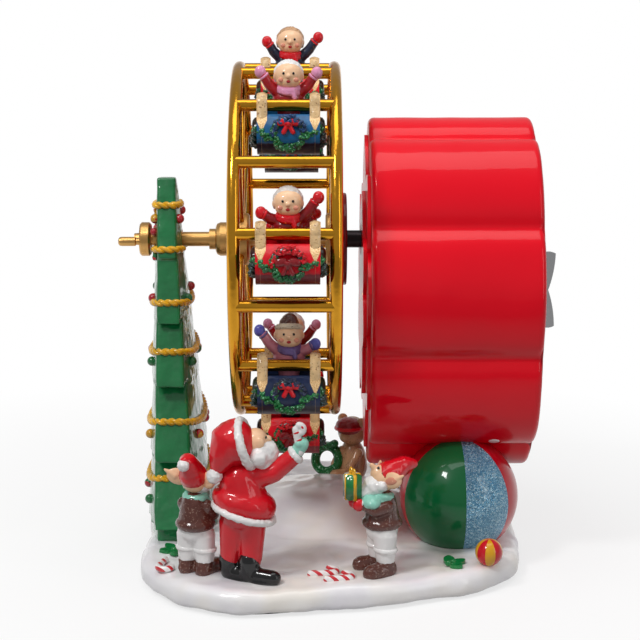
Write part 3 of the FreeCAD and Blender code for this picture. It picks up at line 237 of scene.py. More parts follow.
def panel_ball_paint(name, centre, start_deg, stops, glitter_stops):
    """Painted panels between the meridians of a standing ball; a glitter panel has flakes in its varnish."""
    material, tree, shader, place = new_material(name + "_resin_paints")
    x, y = own_axes(tree, place, centre)[:2]
    angle = maths(tree, "ARCTAN2", x, maths(tree, "MULTIPLY", y, -1.0))
    share = maths(tree, "FRACT", maths(tree, "MULTIPLY_ADD", angle, 1 / math.tau, 1.0 - start_deg / 360))
    panels = ramp(tree, share, stops, "CONSTANT")
    cells = add(tree, "ShaderNodeTexVoronoi", inputs={"Vector": place, "Scale": 1700.0}).outputs
    flakes = ramp(tree, cells["Color"], [(0.2, "4A86AC"), (0.55, "6FA8C6"), (0.85, "B4D6E4")])
    mask = ramp(tree, share, [(position, (glitter, glitter, glitter, 1)) for position, glitter in glitter_stops],
                "CONSTANT")
    wave = bump(tree, mottling(tree, place, 90.0, 1.0), 0.3, 0.001)
    sparkle = maths(tree, "MULTIPLY", cells["Distance"], mask)
    plug(tree, shader, {"Base Color": blend(tree, mask, panels, flakes),
                        "Metallic": maths(tree, "MULTIPLY", mask, 0.55),
                        "Normal": bump(tree, sparkle, 0.8, 0.0012, wave), "Coat Normal": wave, "Roughness": 0.35,
                        "Specular IOR Level": 0.15, "Coat Weight": 0.55, "Coat Roughness": 0.05})
    return material


# Gold plate on the rings and rods: polished, so it mirrors what stands round it
gold_plate = plated_metal("polished_gold_plate", "E0A030", 0.13, 0.22, wave=0.35)
# Satin lacquered brass of the axle, hub and crank: turned, so fine rings run round the axle
satin_brass = plated_metal("satin_turned_brass", "D3A564", 0.30, 0.12, wave=0.12, grain=0.25, axis=(0.2, 3, 3))
# Blackened steel drive shaft, oiled and smooth
black_steel = plated_metal("blackened_steel", "3A3436", 0.26, 0.25, wave=0.05, grain=0.2, axis=(6, 1, 1))
# Nickel plate of the winding key: the brightest and palest metal
bright_nickel = plated_metal("nickel_plate", "D9DADC", 0.14, 0.08, wave=0.15)
# Machined brass, dull cast zinc, blued spring steel and bright screw steel of the movement inside
movement_brass = plated_metal("machined_brass", "D2A544", 0.22, 0.10, grain=0.3, axis=(0.3, 2, 2))
movement_zinc = plated_metal("die_cast_zinc", "A7A8A6", 0.42, 0.15, wave=0.6)
spring_steel = plated_metal("blued_spring_steel", "5A6478", 0.25, 0.2)
plain_steel = plated_metal("screw_steel", "C2C3C4", 0.25, 0.1, grain=0.2)

# Sprayed lacquers: the housing's wet, even red, and two deeper reds round it
red_lacquer = lacquer("red_gloss_lacquer", "F0001E", 0.35)
cover_lacquer = lacquer("cover_red_gloss_lacquer", "B80018", 0.25)
disc_lacquer = lacquer("dark_red_gloss_lacquer", "7A0010", 0.1)

# Brushed paints under varnish: the specks and the mottling show where fur, fir and old gold are uneven
red_paint = resin_paint("bright_red", "D9001A", mottle=0.10)
dark_red_paint = resin_paint("dark_red", "8E0615", mottle=0.25)
deep_red_paint = resin_paint("deep_red", "A8101E", mottle=0.3)
lip_paint = resin_paint("lip_red", "B3141C", mottle=0.05, wave=0.1)
white_paint = resin_paint("white", "F1EFEE", mottle=0.05, wave=0.5)
black_paint = resin_paint("black", "0C0C0E", mottle=0.2, roughness=0.25)
brown_paint = resin_paint("brown", "5C3128", mottle=0.22, wave=0.6, speck="8A6A5C")
tan_paint = resin_paint("tan", "C99C74", mottle=0.25, wave=0.6, speck="8A5A3C")
skin_paint = resin_paint("skin", "FBCDA4", mottle=0.06, wave=0.3, coat=0.6)
blush_paint = resin_paint("blush", "E79A80", mottle=0.1, coat=0.4)
mint_paint = resin_paint("mint", "93D6C3", mottle=0.10)
green_paint = resin_paint("leaf_green", "0A7A3A", mottle=0.22, wave=0.7)
gold_paint = resin_paint("gold", "F0B41C", mottle=0.3, wave=0.9, roughness=0.25)
grey_hair_paint = resin_paint("grey_hair", "D6CFCA", mottle=0.15, wave=0.8)
auburn_paint = resin_paint("auburn_hair", "6A2A16", mottle=0.25, wave=0.9)
navy_paint = resin_paint("navy", "16233F", mottle=0.25)
pink_paint = resin_paint("pink", "E79AC0", mottle=0.12, wave=0.7)
rose_paint = resin_paint("dusty_pink", "C9798A", mottle=0.14)
purple_paint = resin_paint("purple", "6A558E", mottle=0.2, wave=0.7)
violet_paint = resin_paint("blue_violet", "5A5BB8", mottle=0.15)
hat_fur_paint = resin_paint("fur_band", "E8D9C0", mottle=0.2, wave=1.0, speck="5C3428")
tree_paint = resin_paint("fir_green", "00703A", mottle=0.16, wave=0.9, coat=1.0)
strap_paint = resin_paint("cream_gold_strap", "E2BE8A", mottle=0.3, wave=1.0, speck="8F6238")
tuft_dark_paint = resin_paint("dark_fir", "14352A", mottle=0.5, speck="8FB8C8")
wreath_green = resin_paint("wreath_green", "0C6E33", mottle=0.55, wave=1.0, speck="7FC59A")
wreath_blue = resin_paint("wreath_blue", "143E70", mottle=0.5, wave=0.9)
wreath_navy = resin_paint("wreath_navy", "1C2A4A", mottle=0.5, wave=0.9)
snow_finish = snow_paint()


# Forms: rough lumps that are melted together into one skin
def ball(centre, radius, squash=(1, 1, 1), turn=None):
    return ("ball", Vector(centre), radius, Vector(squash), turn)


def limb(start, end, radius_start, radius_end):
    return ("limb", Vector(start), Vector(end), radius_start, radius_end)


def ring(centre, axis, radius, tube, start=0.0, sweep=360.0):
    return ("ring", Vector(centre), Vector(axis), radius, tube, start, sweep)


def turned(angle, axis="Y"):
    return Matrix.Rotation(angle, 3, axis)


def facing(axis):
    """The turn that brings Z onto an axis."""
    return axis.to_track_quat("Z", "Y").to_matrix()


def sphere(mesh, subdivisions, radius, matrix):
    bmesh.ops.create_icosphere(mesh, subdivisions=subdivisions, radius=radius, matrix=matrix)


def add_lump(mesh, kind, *sizes):
    if kind == "ball":
        centre, radius, squash, turn = sizes
        matrix = Matrix.Translation(centre) @ (turn.to_4x4() if turn else Matrix())
        sphere(mesh, 3, 1.0, matrix @ Matrix.Diagonal(squash * radius).to_4x4())
    elif kind == "limb":
        start, end, low, high = sizes
        steps = 10
        for index in range(steps + 1):
            share = index / steps
            sphere(mesh, 2, low + (high - low) * share, Matrix.Translation(start.lerp(end, share)))
        run = end - start
        bmesh.ops.create_cone(mesh, cap_ends=True, segments=24, radius1=low, radius2=high, depth=run.length,
                              matrix=Matrix.Translation(start.lerp(end, 0.5)) @ facing(run).to_4x4())
    else:
        centre, axis, radius, tube, start, sweep = sizes
        count = max(6, int(radius * math.radians(sweep) / (tube * 0.45)))
        for index in range(count + 1):
            angle = math.radians(start + sweep * index / count)
            spot = centre + facing(axis) @ Vector((radius * math.cos(angle), radius * math.sin(angle), 0))
            sphere(mesh, 2, tube, Matrix.Translation(spot))


def as_data(mesh, name):
    """Mesh data from a bmesh, which is freed."""
    data = bpy.data.meshes.new(name)
    mesh.to_mesh(data)
    mesh.free()
    return data


def as_object(name, data):
    thing = bpy.data.objects.new(name, data)
    bpy.context.scene.collection.objects.link(thing)
    return thing


def evaluated(thing):
    """The plain mesh that an object's modifiers make; the object and its own mesh go."""
    bpy.context.view_layer.update()
    result = bpy.data.meshes.new_from_object(thing.evaluated_get(bpy.context.evaluated_depsgraph_get()))
    source = thing.data
    bpy.data.objects.remove(thing)
    bpy.data.meshes.remove(source)
    return result


def melt(mesh, voxel, smooth, fluff, fluff_scale):
    """Remeshes a bmesh to one even skin, relaxes it and lifts it unevenly along its normals."""
    thing = as_object("lump", as_data(mesh, "lump"))
    remesh = thing.modifiers.new("melt", "REMESH")
    remesh.mode = "VOXEL"
    remesh.voxel_size = voxel
    relax = thing.modifiers.new("relax", "SMOOTH")
    relax.iterations = smooth
    relax.factor = 0.5
    result = evaluated(thing)
    if fluff:
        normals = [vertex.normal.copy() for vertex in result.vertices]
        for vertex, normal in zip(result.vertices, normals):
            lift = noise.noise(vertex.co * fluff_scale) + 0.5 * noise.noise(vertex.co * fluff_scale * 2.3)
            vertex.co += normal * lift * fluff
    return result


def sculpt(forms, voxel, smooth, fluff=0.0, fluff_scale=0.6):
    mesh = bmesh.new()
    for form in forms:
        add_lump(mesh, *form)
    return melt(mesh, voxel, smooth, fluff, fluff_scale)


def sculpted(*rows):
    """(mesh, paint) groups from rows of forms, paint, voxel size, relaxing steps, fluff and fluff scale."""
    return [(sculpt(forms, *how), paint) for forms, paint, *how in rows]


def cad_skin(node):
    """A merged copy of a carried-over solid's mesh, in millimetres."""
    mesh = bmesh.new()
    mesh.from_mesh(nodes[node].data)
    bmesh.ops.remove_doubles(mesh, verts=mesh.verts, dist=1e-6)
    bmesh.ops.scale(mesh, vec=(1000, 1000, 1000), verts=mesh.verts)
    return mesh


def assemble(name, groups, body, replaced=(), offset=(0, 0, 0)):
    """Joins (mesh, paint) groups in millimetres into one object in metres that rides on a body."""
    whole = bmesh.new()
    data = bpy.data.meshes.new(name)
    for index, (part, paint) in enumerate(groups):
        first = len(whole.faces)
        whole.from_mesh(part)
        whole.faces.ensure_lookup_table()
        for face in whole.faces[first:]:
            face.material_index = index
            face.smooth = True
        data.materials.append(paint)
    bmesh.ops.transform(whole, matrix=Matrix.Scale(MM, 4) @ Matrix.Translation(Vector(offset)), verts=whole.verts)
    whole.to_mesh(data)
    whole.free()
    thing = as_object(name, data)
    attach(thing, body)
    if replaced:
        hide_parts(*replaced)


def finish(paint, *names):
    """Gives carried-over solids their finish."""
    for name in names:
        nodes[name].data.materials.clear()
        nodes[name].data.materials.append(paint)


# Geometry node trees
def node_group(name, sizes):
    """A geometry node tree with a line, named sizes and a material as inputs."""
    group = bpy.data.node_groups.new(name, "GeometryNodeTree")
    group.interface.new_socket("Geometry", in_out="INPUT", socket_type="NodeSocketGeometry")
    for label, value in sizes.items():
        kind = "NodeSocketInt" if isinstance(value, int) else "NodeSocketFloat"
        group.interface.new_socket(label, in_out="INPUT", socket_type=kind).default_value = value
    group.interface.new_socket("Material", in_out="INPUT", socket_type="NodeSocketMaterial")
    group.interface.new_socket("Geometry", in_out="OUTPUT", socket_type="NodeSocketGeometry")
    given = add(group, "NodeGroupInput").outputs
    return group, given, made(group, "GeometryNodeMeshToCurve", inputs={0: given["Geometry"]})


def close_group(group, geometry, given):
    smooth = made(group, "GeometryNodeSetShadeSmooth", inputs={0: geometry})
    whole = made(group, "GeometryNodeRealizeInstances", inputs={0: smooth})
    dressed = made(group, "GeometryNodeSetMaterial", inputs={0: whole, "Material": given["Material"]})
    add(group, "NodeGroupOutput", inputs={0: dressed})
    return group


def moved(group, geometry, **how):
    return made(group, "GeometryNodeSetPosition", inputs={0: geometry, **how})


def grow(points, closed, group, paint, values):
    """Runs a tree on a line of points and returns the plain mesh that it makes, in millimetres."""
    line = bpy.data.meshes.new("line")
    edges = [(index, index + 1) for index in range(len(points) - 1)]
    if closed:
        edges.append((len(points) - 1, 0))
    line.from_pydata([tuple(point) for point in points], edges, [])
    thing = as_object("line", line)
    modifier = thing.modifiers.new("grow", "NODES")
    modifier.node_group = group
    values = {"Material": paint, **values}
    for item in group.interface.items_tree:
        if item.in_out == "INPUT" and item.name in values:
            modifier[item.identifier] = values[item.name]
    return evaluated(thing)


def cord_tree():
    """One strand of a twisted cord, wound round the line that it is given."""
    group, given, line = node_group("twisted_cord", {"Turn Share": 0.0, "Cord Radius": 1.0, "Strand Radius": 1.2,
                                                     "Pitch": 8.0, "Step": 0.7})
    even = made(group, "GeometryNodeResampleCurve", {"mode": "LENGTH"}, {"Curve": line, "Length": given["Step"]})
    along = add(group, "GeometryNodeSplineParameter").outputs["Length"]
    turns = maths(group, "ADD", maths(group, "DIVIDE", along, given["Pitch"]), given["Turn Share"])
    angle = maths(group, "MULTIPLY", turns, math.tau)
    normal = made(group, "GeometryNodeInputNormal")
    side = vector_maths(group, "CROSS_PRODUCT", {0: made(group, "GeometryNodeInputTangent"), 1: normal})
    offsets = []
    for direction, wave in ((normal, "COSINE"), (side, "SINE")):
        reach = maths(group, "MULTIPLY", maths(group, wave, angle), given["Cord Radius"])
        offsets.append(vector_maths(group, "SCALE", {0: direction, "Scale": reach}))
    wound = moved(group, even, Offset=vector_maths(group, "ADD", dict(enumerate(offsets))))
    section = made(group, "GeometryNodeCurvePrimitiveCircle",
                   inputs={"Resolution": 8, "Radius": given["Strand Radius"]})
    tube = made(group, "GeometryNodeCurveToMesh", inputs={0: wound, 1: section, "Fill Caps": True})
    return close_group(group, tube, given)


def leaf_tree():
    """Small pointed fir tufts along a line, each turned and set aside a little by a fixed seed."""
    group, given, line = node_group("fir_tufts", {"Tufts": 60, "Tuft Length": 1.75, "Tuft Width": 0.95,
                                                  "Spread": 0.7, "Seed": 1})
    spots = made(group, "GeometryNodeCurveToPoints", {"mode": "COUNT"}, {"Curve": line, "Count": given["Tufts"]})
    aside = made(group, "FunctionNodeRandomValue", {"data_type": "FLOAT_VECTOR"},
                 {"Min": (-1, -1, -1), "Max": (1, 1, 1), "Seed": given["Seed"]})
    placed = moved(group, spots, Offset=vector_maths(group, "SCALE", {0: aside, "Scale": given["Spread"]}))
    turn = made(group, "FunctionNodeRandomValue", {"data_type": "FLOAT_VECTOR"},
                {"Min": (0, 0, 0), "Max": (math.tau, math.tau, math.tau),
                 "Seed": made(group, "FunctionNodeInputInt", {"integer": 7})})
    tuft = made(group, "GeometryNodeMeshUVSphere", inputs={"Segments": 6, "Rings": 4, "Radius": 1.0})
    size = made(group, "ShaderNodeCombineXYZ", inputs={0: given["Tuft Width"], 1: given["Tuft Width"],
                                                       2: given["Tuft Length"]})
    return close_group(group, made(group, "GeometryNodeInstanceOnPoints", inputs={
        "Points": placed, "Instance": tuft, "Rotation": turn, "Scale": size}), given)


AXLE_HEIGHT = 169.0
# The housing's outline: an ellipse with lobes, whose grooves are a cusp and a rolled-in valley
HOUSING = {"Half Depth": 71.8, "Half Height": 95.2, "Centre Height": 139.6, "Lobes": 8.0, "Phase": -83.5,
           "Groove Depth": 0.05, "Groove Round": 0.004, "Roll Depth": 0.045, "Roll Width": 0.06,
           "Hole Radius": 6.4, "Hole Height": AXLE_HEIGHT, "Hand Wave": 1.0}


def lobed_shell_tree():
    """A shell that runs along X with round lobes about it; the line gives (X, inset, share of the shaft hole)."""
    group, given, line = node_group("lobed_shell", {"Around": 384, "Along": 190, **HOUSING})
    grid = made(group, "GeometryNodeMeshGrid", inputs={"Size X": 1.0, "Size Y": 1.0, "Vertices X": given["Around"],
                                                       "Vertices Y": given["Along"]})
    spot = split(group, made(group, "GeometryNodeInputPosition"))
    turn = maths(group, "MULTIPLY", spot[0], math.tau)
    sample = add(group, "GeometryNodeSampleCurve", {"mode": "FACTOR", "use_all_curves": False},
                 {"Curves": line, "Factor": maths(group, "ADD", spot[1], 0.5)})
    x, inset, hole_share = split(group, sample.outputs["Position"])
    phase = maths(group, "MULTIPLY", given["Phase"], math.radians(1.0))
    half_lobes = maths(group, "DIVIDE", given["Lobes"], 2.0)
    swing = maths(group, "MULTIPLY", maths(group, "SUBTRACT", turn, phase), half_lobes)
    square = maths(group, "POWER", maths(group, "COSINE", swing), 2.0)
    crest = maths(group, "SQRT", maths(group, "ADD", square, given["Groove Round"]))
    drop = maths(group, "MULTIPLY", maths(group, "SUBTRACT", 1.0, crest), given["Groove Depth"])
    valley = maths(group, "ADD", maths(group, "DIVIDE", square, given["Roll Width"]), 1.0)
    roll = maths(group, "DIVIDE", given["Roll Depth"], valley)
    lobe = maths(group, "SUBTRACT", maths(group, "SUBTRACT", 1.0, drop), roll)
    places = []
    for half, wave, sign, middle, hole_middle in (("Half Depth", "COSINE", -1.0, 0.0, 0.0),
                                                  ("Half Height", "SINE", 1.0, given["Centre Height"],
                                                   given["Hole Height"])):
        reach = maths(group, "MULTIPLY", maths(group, "SUBTRACT", given[half], inset), lobe)
        direction = maths(group, "MULTIPLY", maths(group, wave, turn), sign)
        outer = maths(group, "ADD", maths(group, "MULTIPLY", reach, direction), middle)
        hole = maths(group, "ADD", maths(group, "MULTIPLY", given["Hole Radius"], direction), hole_middle)
        places.append(made(group, "ShaderNodeMix", {"data_type": "FLOAT"}, {0: hole_share, 2: outer, 3: hole}))
    place = made(group, "ShaderNodeCombineXYZ", inputs={0: x, 1: places[0], 2: places[1]})
    skin = moved(group, grid, Position=place)
    closed = made(group, "GeometryNodeMergeByDistance", inputs={0: skin, "Distance": 0.002})
    wave = made(group, "ShaderNodeTexNoise", inputs={"Scale": 0.035, "Detail": 1.0})
    lift = maths(group, "MULTIPLY", maths(group, "SUBTRACT", wave, 0.5), given["Hand Wave"])
    offset = vector_maths(group, "SCALE", {0: made(group, "GeometryNodeInputNormal"), "Scale": lift})
    return close_group(group, moved(group, closed, Offset=offset), given)


cord_group = cord_tree()
tuft_group = leaf_tree()
shell_group = lobed_shell_tree()


# Cars, in their own measures: the rung's middle is the origin and +Y is the car's back
RUNG_CIRCLE = 92.0
FIRST_RUNG_ANGLE = 9.0
CAR_SHIFT = 1.5
STRAP_OFFSET = 13.2
STRAP_RADIUS = 5.1
# Each look's lower tub colour is painted shade: it darkens the underside of the car
CAR_LOOKS = {  # front, lower tub, cheeks, and the paints of the wreath's upper half and of the bow
    "red": ("DE001C", "7C1220", "2C0E10", red_paint, dark_red_paint),
    "blue": ("0D5C8E", "1C1626", "101418", wreath_blue, red_paint),
    "navy": ("1D2C4E", "2E2C3A", "12241C", wreath_navy, red_paint),
}
CAR_ORDER = ("red", "blue", "red", "blue", "red", "blue", "red", "navy")


def rung_place(index):
    """The middle of a car's rung, in millimetres."""
    angle = math.radians(FIRST_RUNG_ANGLE + 45 * index)
    return (CAR_SHIFT, -RUNG_CIRCLE * math.cos(angle), AXLE_HEIGHT + RUNG_CIRCLE * math.sin(angle))


def zone(tree, value, low, high, soft):
    """1 where a length in metres lies between two edges, with a soft border."""
    above = span(tree, value, low - soft, low + soft)
    return maths(tree, "MULTIPLY", above, span(tree, value, high + soft, high - soft))


def car_paint(name, origin, front_hex, underside_shade_hex, cheek_hex):
    """A car's paints by hand: bright front, a darker lower tub that is painted shade on the car's underside, dark
    cheeks, and tan-gold straps with specks.
    """
    material, tree, shader, place = new_material(name)
    x, y, z = own_axes(tree, place, origin)
    patches = mottling(tree, place, 260.0, 4.0)

    def uneven(hex_value, start, dark, end, pale):
        base = colour(hex_value)
        return ramp(tree, patches, [(start, shade(base, dark)), (end, shade(base, pale))])
    height = maths(tree, "ADD", z, maths(tree, "MULTIPLY_ADD", mottling(tree, place, 500.0), 0.0012, -0.0006))
    across = maths(tree, "ABSOLUTE", x)
    # Painted shade: from 18 mm below the rung down, the tub takes the darker underside colour
    paint = blend(tree, zone(tree, height, -0.040, -0.0180, 0.0004), uneven(front_hex, 0.3, 0.72, 0.62, 1.06),
                  uneven(underside_shade_hex, 0.3, 0.7, 0.62, 1.15))
    paint = blend(tree, zone(tree, across, 0.01575, 0.05, 0.0001), paint, uneven(cheek_hex, 0.35, 0.5, 0.6, 1.3))
    specks = mottling(tree, place, 2200.0, 3.0)
    strap = ramp(tree, specks, [(0.28, "8A5E36"), (0.40, "C99B62"), (0.52, "E3BD88"), (0.66, "F1D9AE")])
    # The strap is 5.2 mm wide and tapers to a point low on the front
    half_width = span(tree, z, -0.0125, -0.0070, 0.0, 0.0026)
    off_centre = maths(tree, "ABSOLUTE", maths(tree, "SUBTRACT", across, STRAP_OFFSET * MM))
    inside = span(tree, maths(tree, "SUBTRACT", half_width, off_centre), -0.0001, 0.0001)
    mask = maths(tree, "MULTIPLY", inside, span(tree, y, 0.0066, 0.0060))
    relief = bump(tree, patches, 0.5, 0.0006)
    plug(tree, shader, {"Base Color": blend(tree, mask, paint, strap),
                        "Metallic": maths(tree, "MULTIPLY", mask, 0.35),
                        "Normal": bump(tree, specks, 0.25, 0.0003, relief),
                        "Coat Normal": relief, "Roughness": 0.4, "Specular IOR Level": 0.15, "Coat Weight": 0.4,
                        "Coat Roughness": 0.05})
    return material


def straps():
    """The two hanging straps: each goes over the rung and tapers to a tongue on the car's front."""
    steps = 12
    forms = []
    for side in SIDES:
        for step in range(steps + 1):
            turn = math.radians(55 + 125 * step / steps)
            crown = Vector((0, math.cos(turn), math.sin(turn))) * STRAP_RADIUS
            forms.append(ball(Vector((side * STRAP_OFFSET, 0, 0)) + crown, 2.75, (1.0, 0.5, 0.62), turned(turn, "X")))
        for step in range(1, steps + 1):
            share = step / steps
            forms.append(ball((side * STRAP_OFFSET, -STRAP_RADIUS - 5.1 * share, -13.4 * share),
                              2.75 - 1.9 * share ** 2, (1.0, 0.5, 0.8), turned(math.radians(160), "X")))
    return forms


WREATH_CENTRE = Vector((0, -11.6, -13.2))
WREATH_FACE = Vector((0, -1, -0.12))
WREATH_RADIUS = 7.3
SWAG = ((7.2, -12.2, -14.6), (10.6, -12.4, -15.2), (13.6, -11.8, -12.6), (15.8, -8.4, -11.6), (16.6, -4.0, -13.0))
CHEEK = ((16.8, -8.6, -14.0), (17.1, -4.0, -17.8), (16.8, 2.0, -19.6))


def wreath_arc(start, sweep):
    angles = [math.radians(start + sweep * step / 24) for step in range(25)]
    return [WREATH_CENTRE + facing(WREATH_FACE) @ Vector((WREATH_RADIUS * math.cos(angle),
                                                          WREATH_RADIUS * math.sin(angle), 0.6)) for angle in angles]


def car_wreath_groups(kind):
    """A fir wreath cast on the car's front: a ring, a swag to each cheek, and a bow on the top."""
    upper_paint, bow_paint = CAR_LOOKS[kind][3:]
    rows = [(wreath_arc(-200, 200), wreath_green, 120, 1, 1.35), (wreath_arc(-10, 190), upper_paint, 110, 2, 1.35)]
    for side in SIDES:
        rows += [([(side * x, y, z) for x, y, z in SWAG], wreath_green, 60, 5 + side, 1.4),
                 ([(side * x, y, z) for x, y, z in CHEEK], tuft_dark_paint, 50, 9 + side, 1.3)]
    tufts = [(grow(line, False, tuft_group, paint, {"Tufts": count, "Seed": seed, "Spread": spread}), paint)
             for line, paint, count, seed, spread in rows]
    rise, size = (0.6, 1.15) if kind == "red" else (4.8, 1.0)
    knot = WREATH_CENTRE + Vector((0, -2.0, rise))
    bow = [ball(knot + Vector((0, -0.7, 0)), 1.3 * size)]
    for side in SIDES:
        bow += [ball(knot + Vector((side * 3.0 * size, 0, 0.7)), 2.2 * size, (1.25, 0.55, 0.85), turned(side * 0.35)),
                limb(knot, knot + Vector((side * 2.3, 0.1, -4.2 * size)), 1.0, 1.25)]
    core = [ring(WREATH_CENTRE, WREATH_FACE, 7.2, 1.9)]
    return sculpted((core, tuft_dark_paint, 0.5, 2)) + tufts + sculpted((bow, bow_paint, 0.32, 2, 0.12, 1.4),
                                                                        (straps(), strap_paint, 0.36, 2, 0.16, 1.1))


def dress_cars():
    wreaths = {kind: car_wreath_groups(kind) for kind in CAR_LOOKS}
    for index, kind in enumerate(CAR_ORDER):
        number = index + 1
        place = rung_place(index)
        finish(car_paint("car_%d_resin_paints" % number, place, *CAR_LOOKS[kind][:3]), "gondola_%d" % number)
        assemble("car_wreath_%d" % number, wreaths[kind], "gondola_body_%d" % number, offset=place)


# Riders, in their car's own measures
SETBACK = 8.6
HEAD_HEIGHT = 14.8
# Coat, scarf, mittens, hair, hat, record slot, and where the left and right hands are on X and Z
RIDER_LOOKS = (
    (dark_red_paint, red_paint, red_paint, grey_hair_paint, None, "rider_red", (-13.2, 9.6), (14.8, 17.0)),
    (deep_red_paint, pink_paint, pink_paint, white_paint, None, "rider_red", (-14.2, 16.4), (14.2, 15.8)),
    (navy_paint, red_paint, red_paint, tan_paint, None, "rider_navy", (-12.6, 14.4), (15.2, 16.6)),
    (rose_paint, purple_paint, violet_paint, auburn_paint, brown_paint, "rider_pink", (-14.8, 16.6), (13.2, 9.6)),
)


def rider_groups(coat_paint, scarf_paint, mitten_paint, hair_paint, hat_paint, left_hand, right_hand):
    """A child with both arms up: coat, mittens, scarf, a round face, and either hair or a fur-edged hat."""
    head = Vector((0, SETBACK - 2.2, HEAD_HEIGHT))

    def on_head(x, y, z):
        return head + Vector((x, y, z))
    coat = [limb((0, SETBACK - 0.4, -4.0), (0, SETBACK - 0.8, 4.0), 6.0, 5.2),
            ball((0, SETBACK - 0.5, 2.6), 6.0, (1.38, 0.92, 0.92))]
    skin = [ball(head, 6.8, (1.07, 0.93, 0.95)), ball(on_head(0, -1.4, -2.6), 5.3, (1.2, 0.9, 0.8)),
            ball(on_head(0, -6.6, -0.6), 1.15)]
    hair = [ball(on_head(0, 1.9, 1.3), 6.9, (1.05, 0.93, 0.95))]
    cuffs, mittens, cheeks, eyes = [], [], [], []
    for side, hand in ((-1, left_hand), (1, right_hand)):
        shoulder = Vector((side * 5.0, SETBACK - 0.8, 5.4))
        palm = Vector((hand[0], SETBACK - 2.6, hand[1]))
        run = palm - shoulder
        wrist = shoulder.lerp(palm, 0.80)
        elbow = shoulder.lerp(palm, 0.45) + Vector((side * 0.6, 0, -0.5))
        coat += [limb(shoulder, elbow, 3.1, 2.7), limb(elbow, wrist, 2.7, 2.5)]
        cuffs.append(ring(wrist, run, 2.1, 0.7))
        thumb = limb(palm - run.normalized() * 0.6, palm + Vector((-side * 1.9, 0, 0.8)), 0.9, 0.8)
        mittens += [limb(wrist, palm, 1.9, 2.5), ball(palm, 2.9, (1.0, 0.8, 1.1)), thumb]
        skin.append(ball(on_head(side * 6.9, 0.6, -0.8), 1.5, (0.6, 0.9, 1.2)))
        cheeks.append(ball(on_head(side * 3.8, -5.35, -2.3), 1.45, (1, 0.5, 0.8)))
        eyes.append(ball(on_head(side * 2.5, -6.0, 0.9), 0.7, (0.9, 0.6, 1.05)))
        hair.append(limb(on_head(side * 5.9, 1.0, 2.4), on_head(side * 6.2, 1.8, -2.4), 1.6, 1.4))
    mouth = [ball(on_head(0, -6.15, -3.1), 1.0, (1.1, 0.5, 0.75))]
    scarf = [ring((0, SETBACK - 1.8, 8.2), (0, -0.25, 1), 4.6, 1.75),
             ring((0, SETBACK - 1.8, 6.6), (0.1, -0.15, 1), 4.8, 1.5),
             limb((2.2, SETBACK - 6.0, 7.6), (3.1, SETBACK - 6.6, 3.6), 1.5, 1.3)]
    groups = sculpted((coat, coat_paint, 0.42, 3, 0.10, 0.9), (cuffs, scarf_paint, 0.3, 1, 0.12, 2.0),
                      (mittens, mitten_paint, 0.35, 2), (skin, skin_paint, 0.38, 3), (cheeks, blush_paint, 0.25, 2),
                      (eyes, black_paint, 0.16, 1), (mouth, lip_paint, 0.16, 1),
                      (scarf, scarf_paint, 0.35, 2, 0.22, 1.5))
    if not hat_paint:
        return groups + sculpted((hair, hair_paint, 0.38, 2, 0.28, 0.9))
    brim = [ring(on_head(0, 0.6, 3.0), (0, 0.35, 1), 5.7, 1.6)]
    crown = [limb(on_head(0, 1.4, 3.4), on_head(0.4, 2.4, 6.4), 5.6, 4.0)]
    return groups + sculpted((brim, hat_fur_paint, 0.35, 1, 0.28, 1.6), (crown, hat_paint, 0.4, 3))


def seat_riders():
    dressed = [rider_groups(*look[:5], *look[6:]) for look in RIDER_LOOKS]
    for index in range(len(CAR_ORDER)):
        number = index + 1
        look = index % len(RIDER_LOOKS)
        assemble("passenger_%d" % number, dressed[look], "gondola_body_%d" % number,
                 replaced=("rider_%d" % number,), offset=rung_place(index))


# Figures round the foot
SNOW_TOP = 13.0


def level(heading):
    """A level direction at a heading in degrees from +X."""
    turn = math.radians(heading)
    return Vector((math.cos(turn), math.sin(turn), 0))


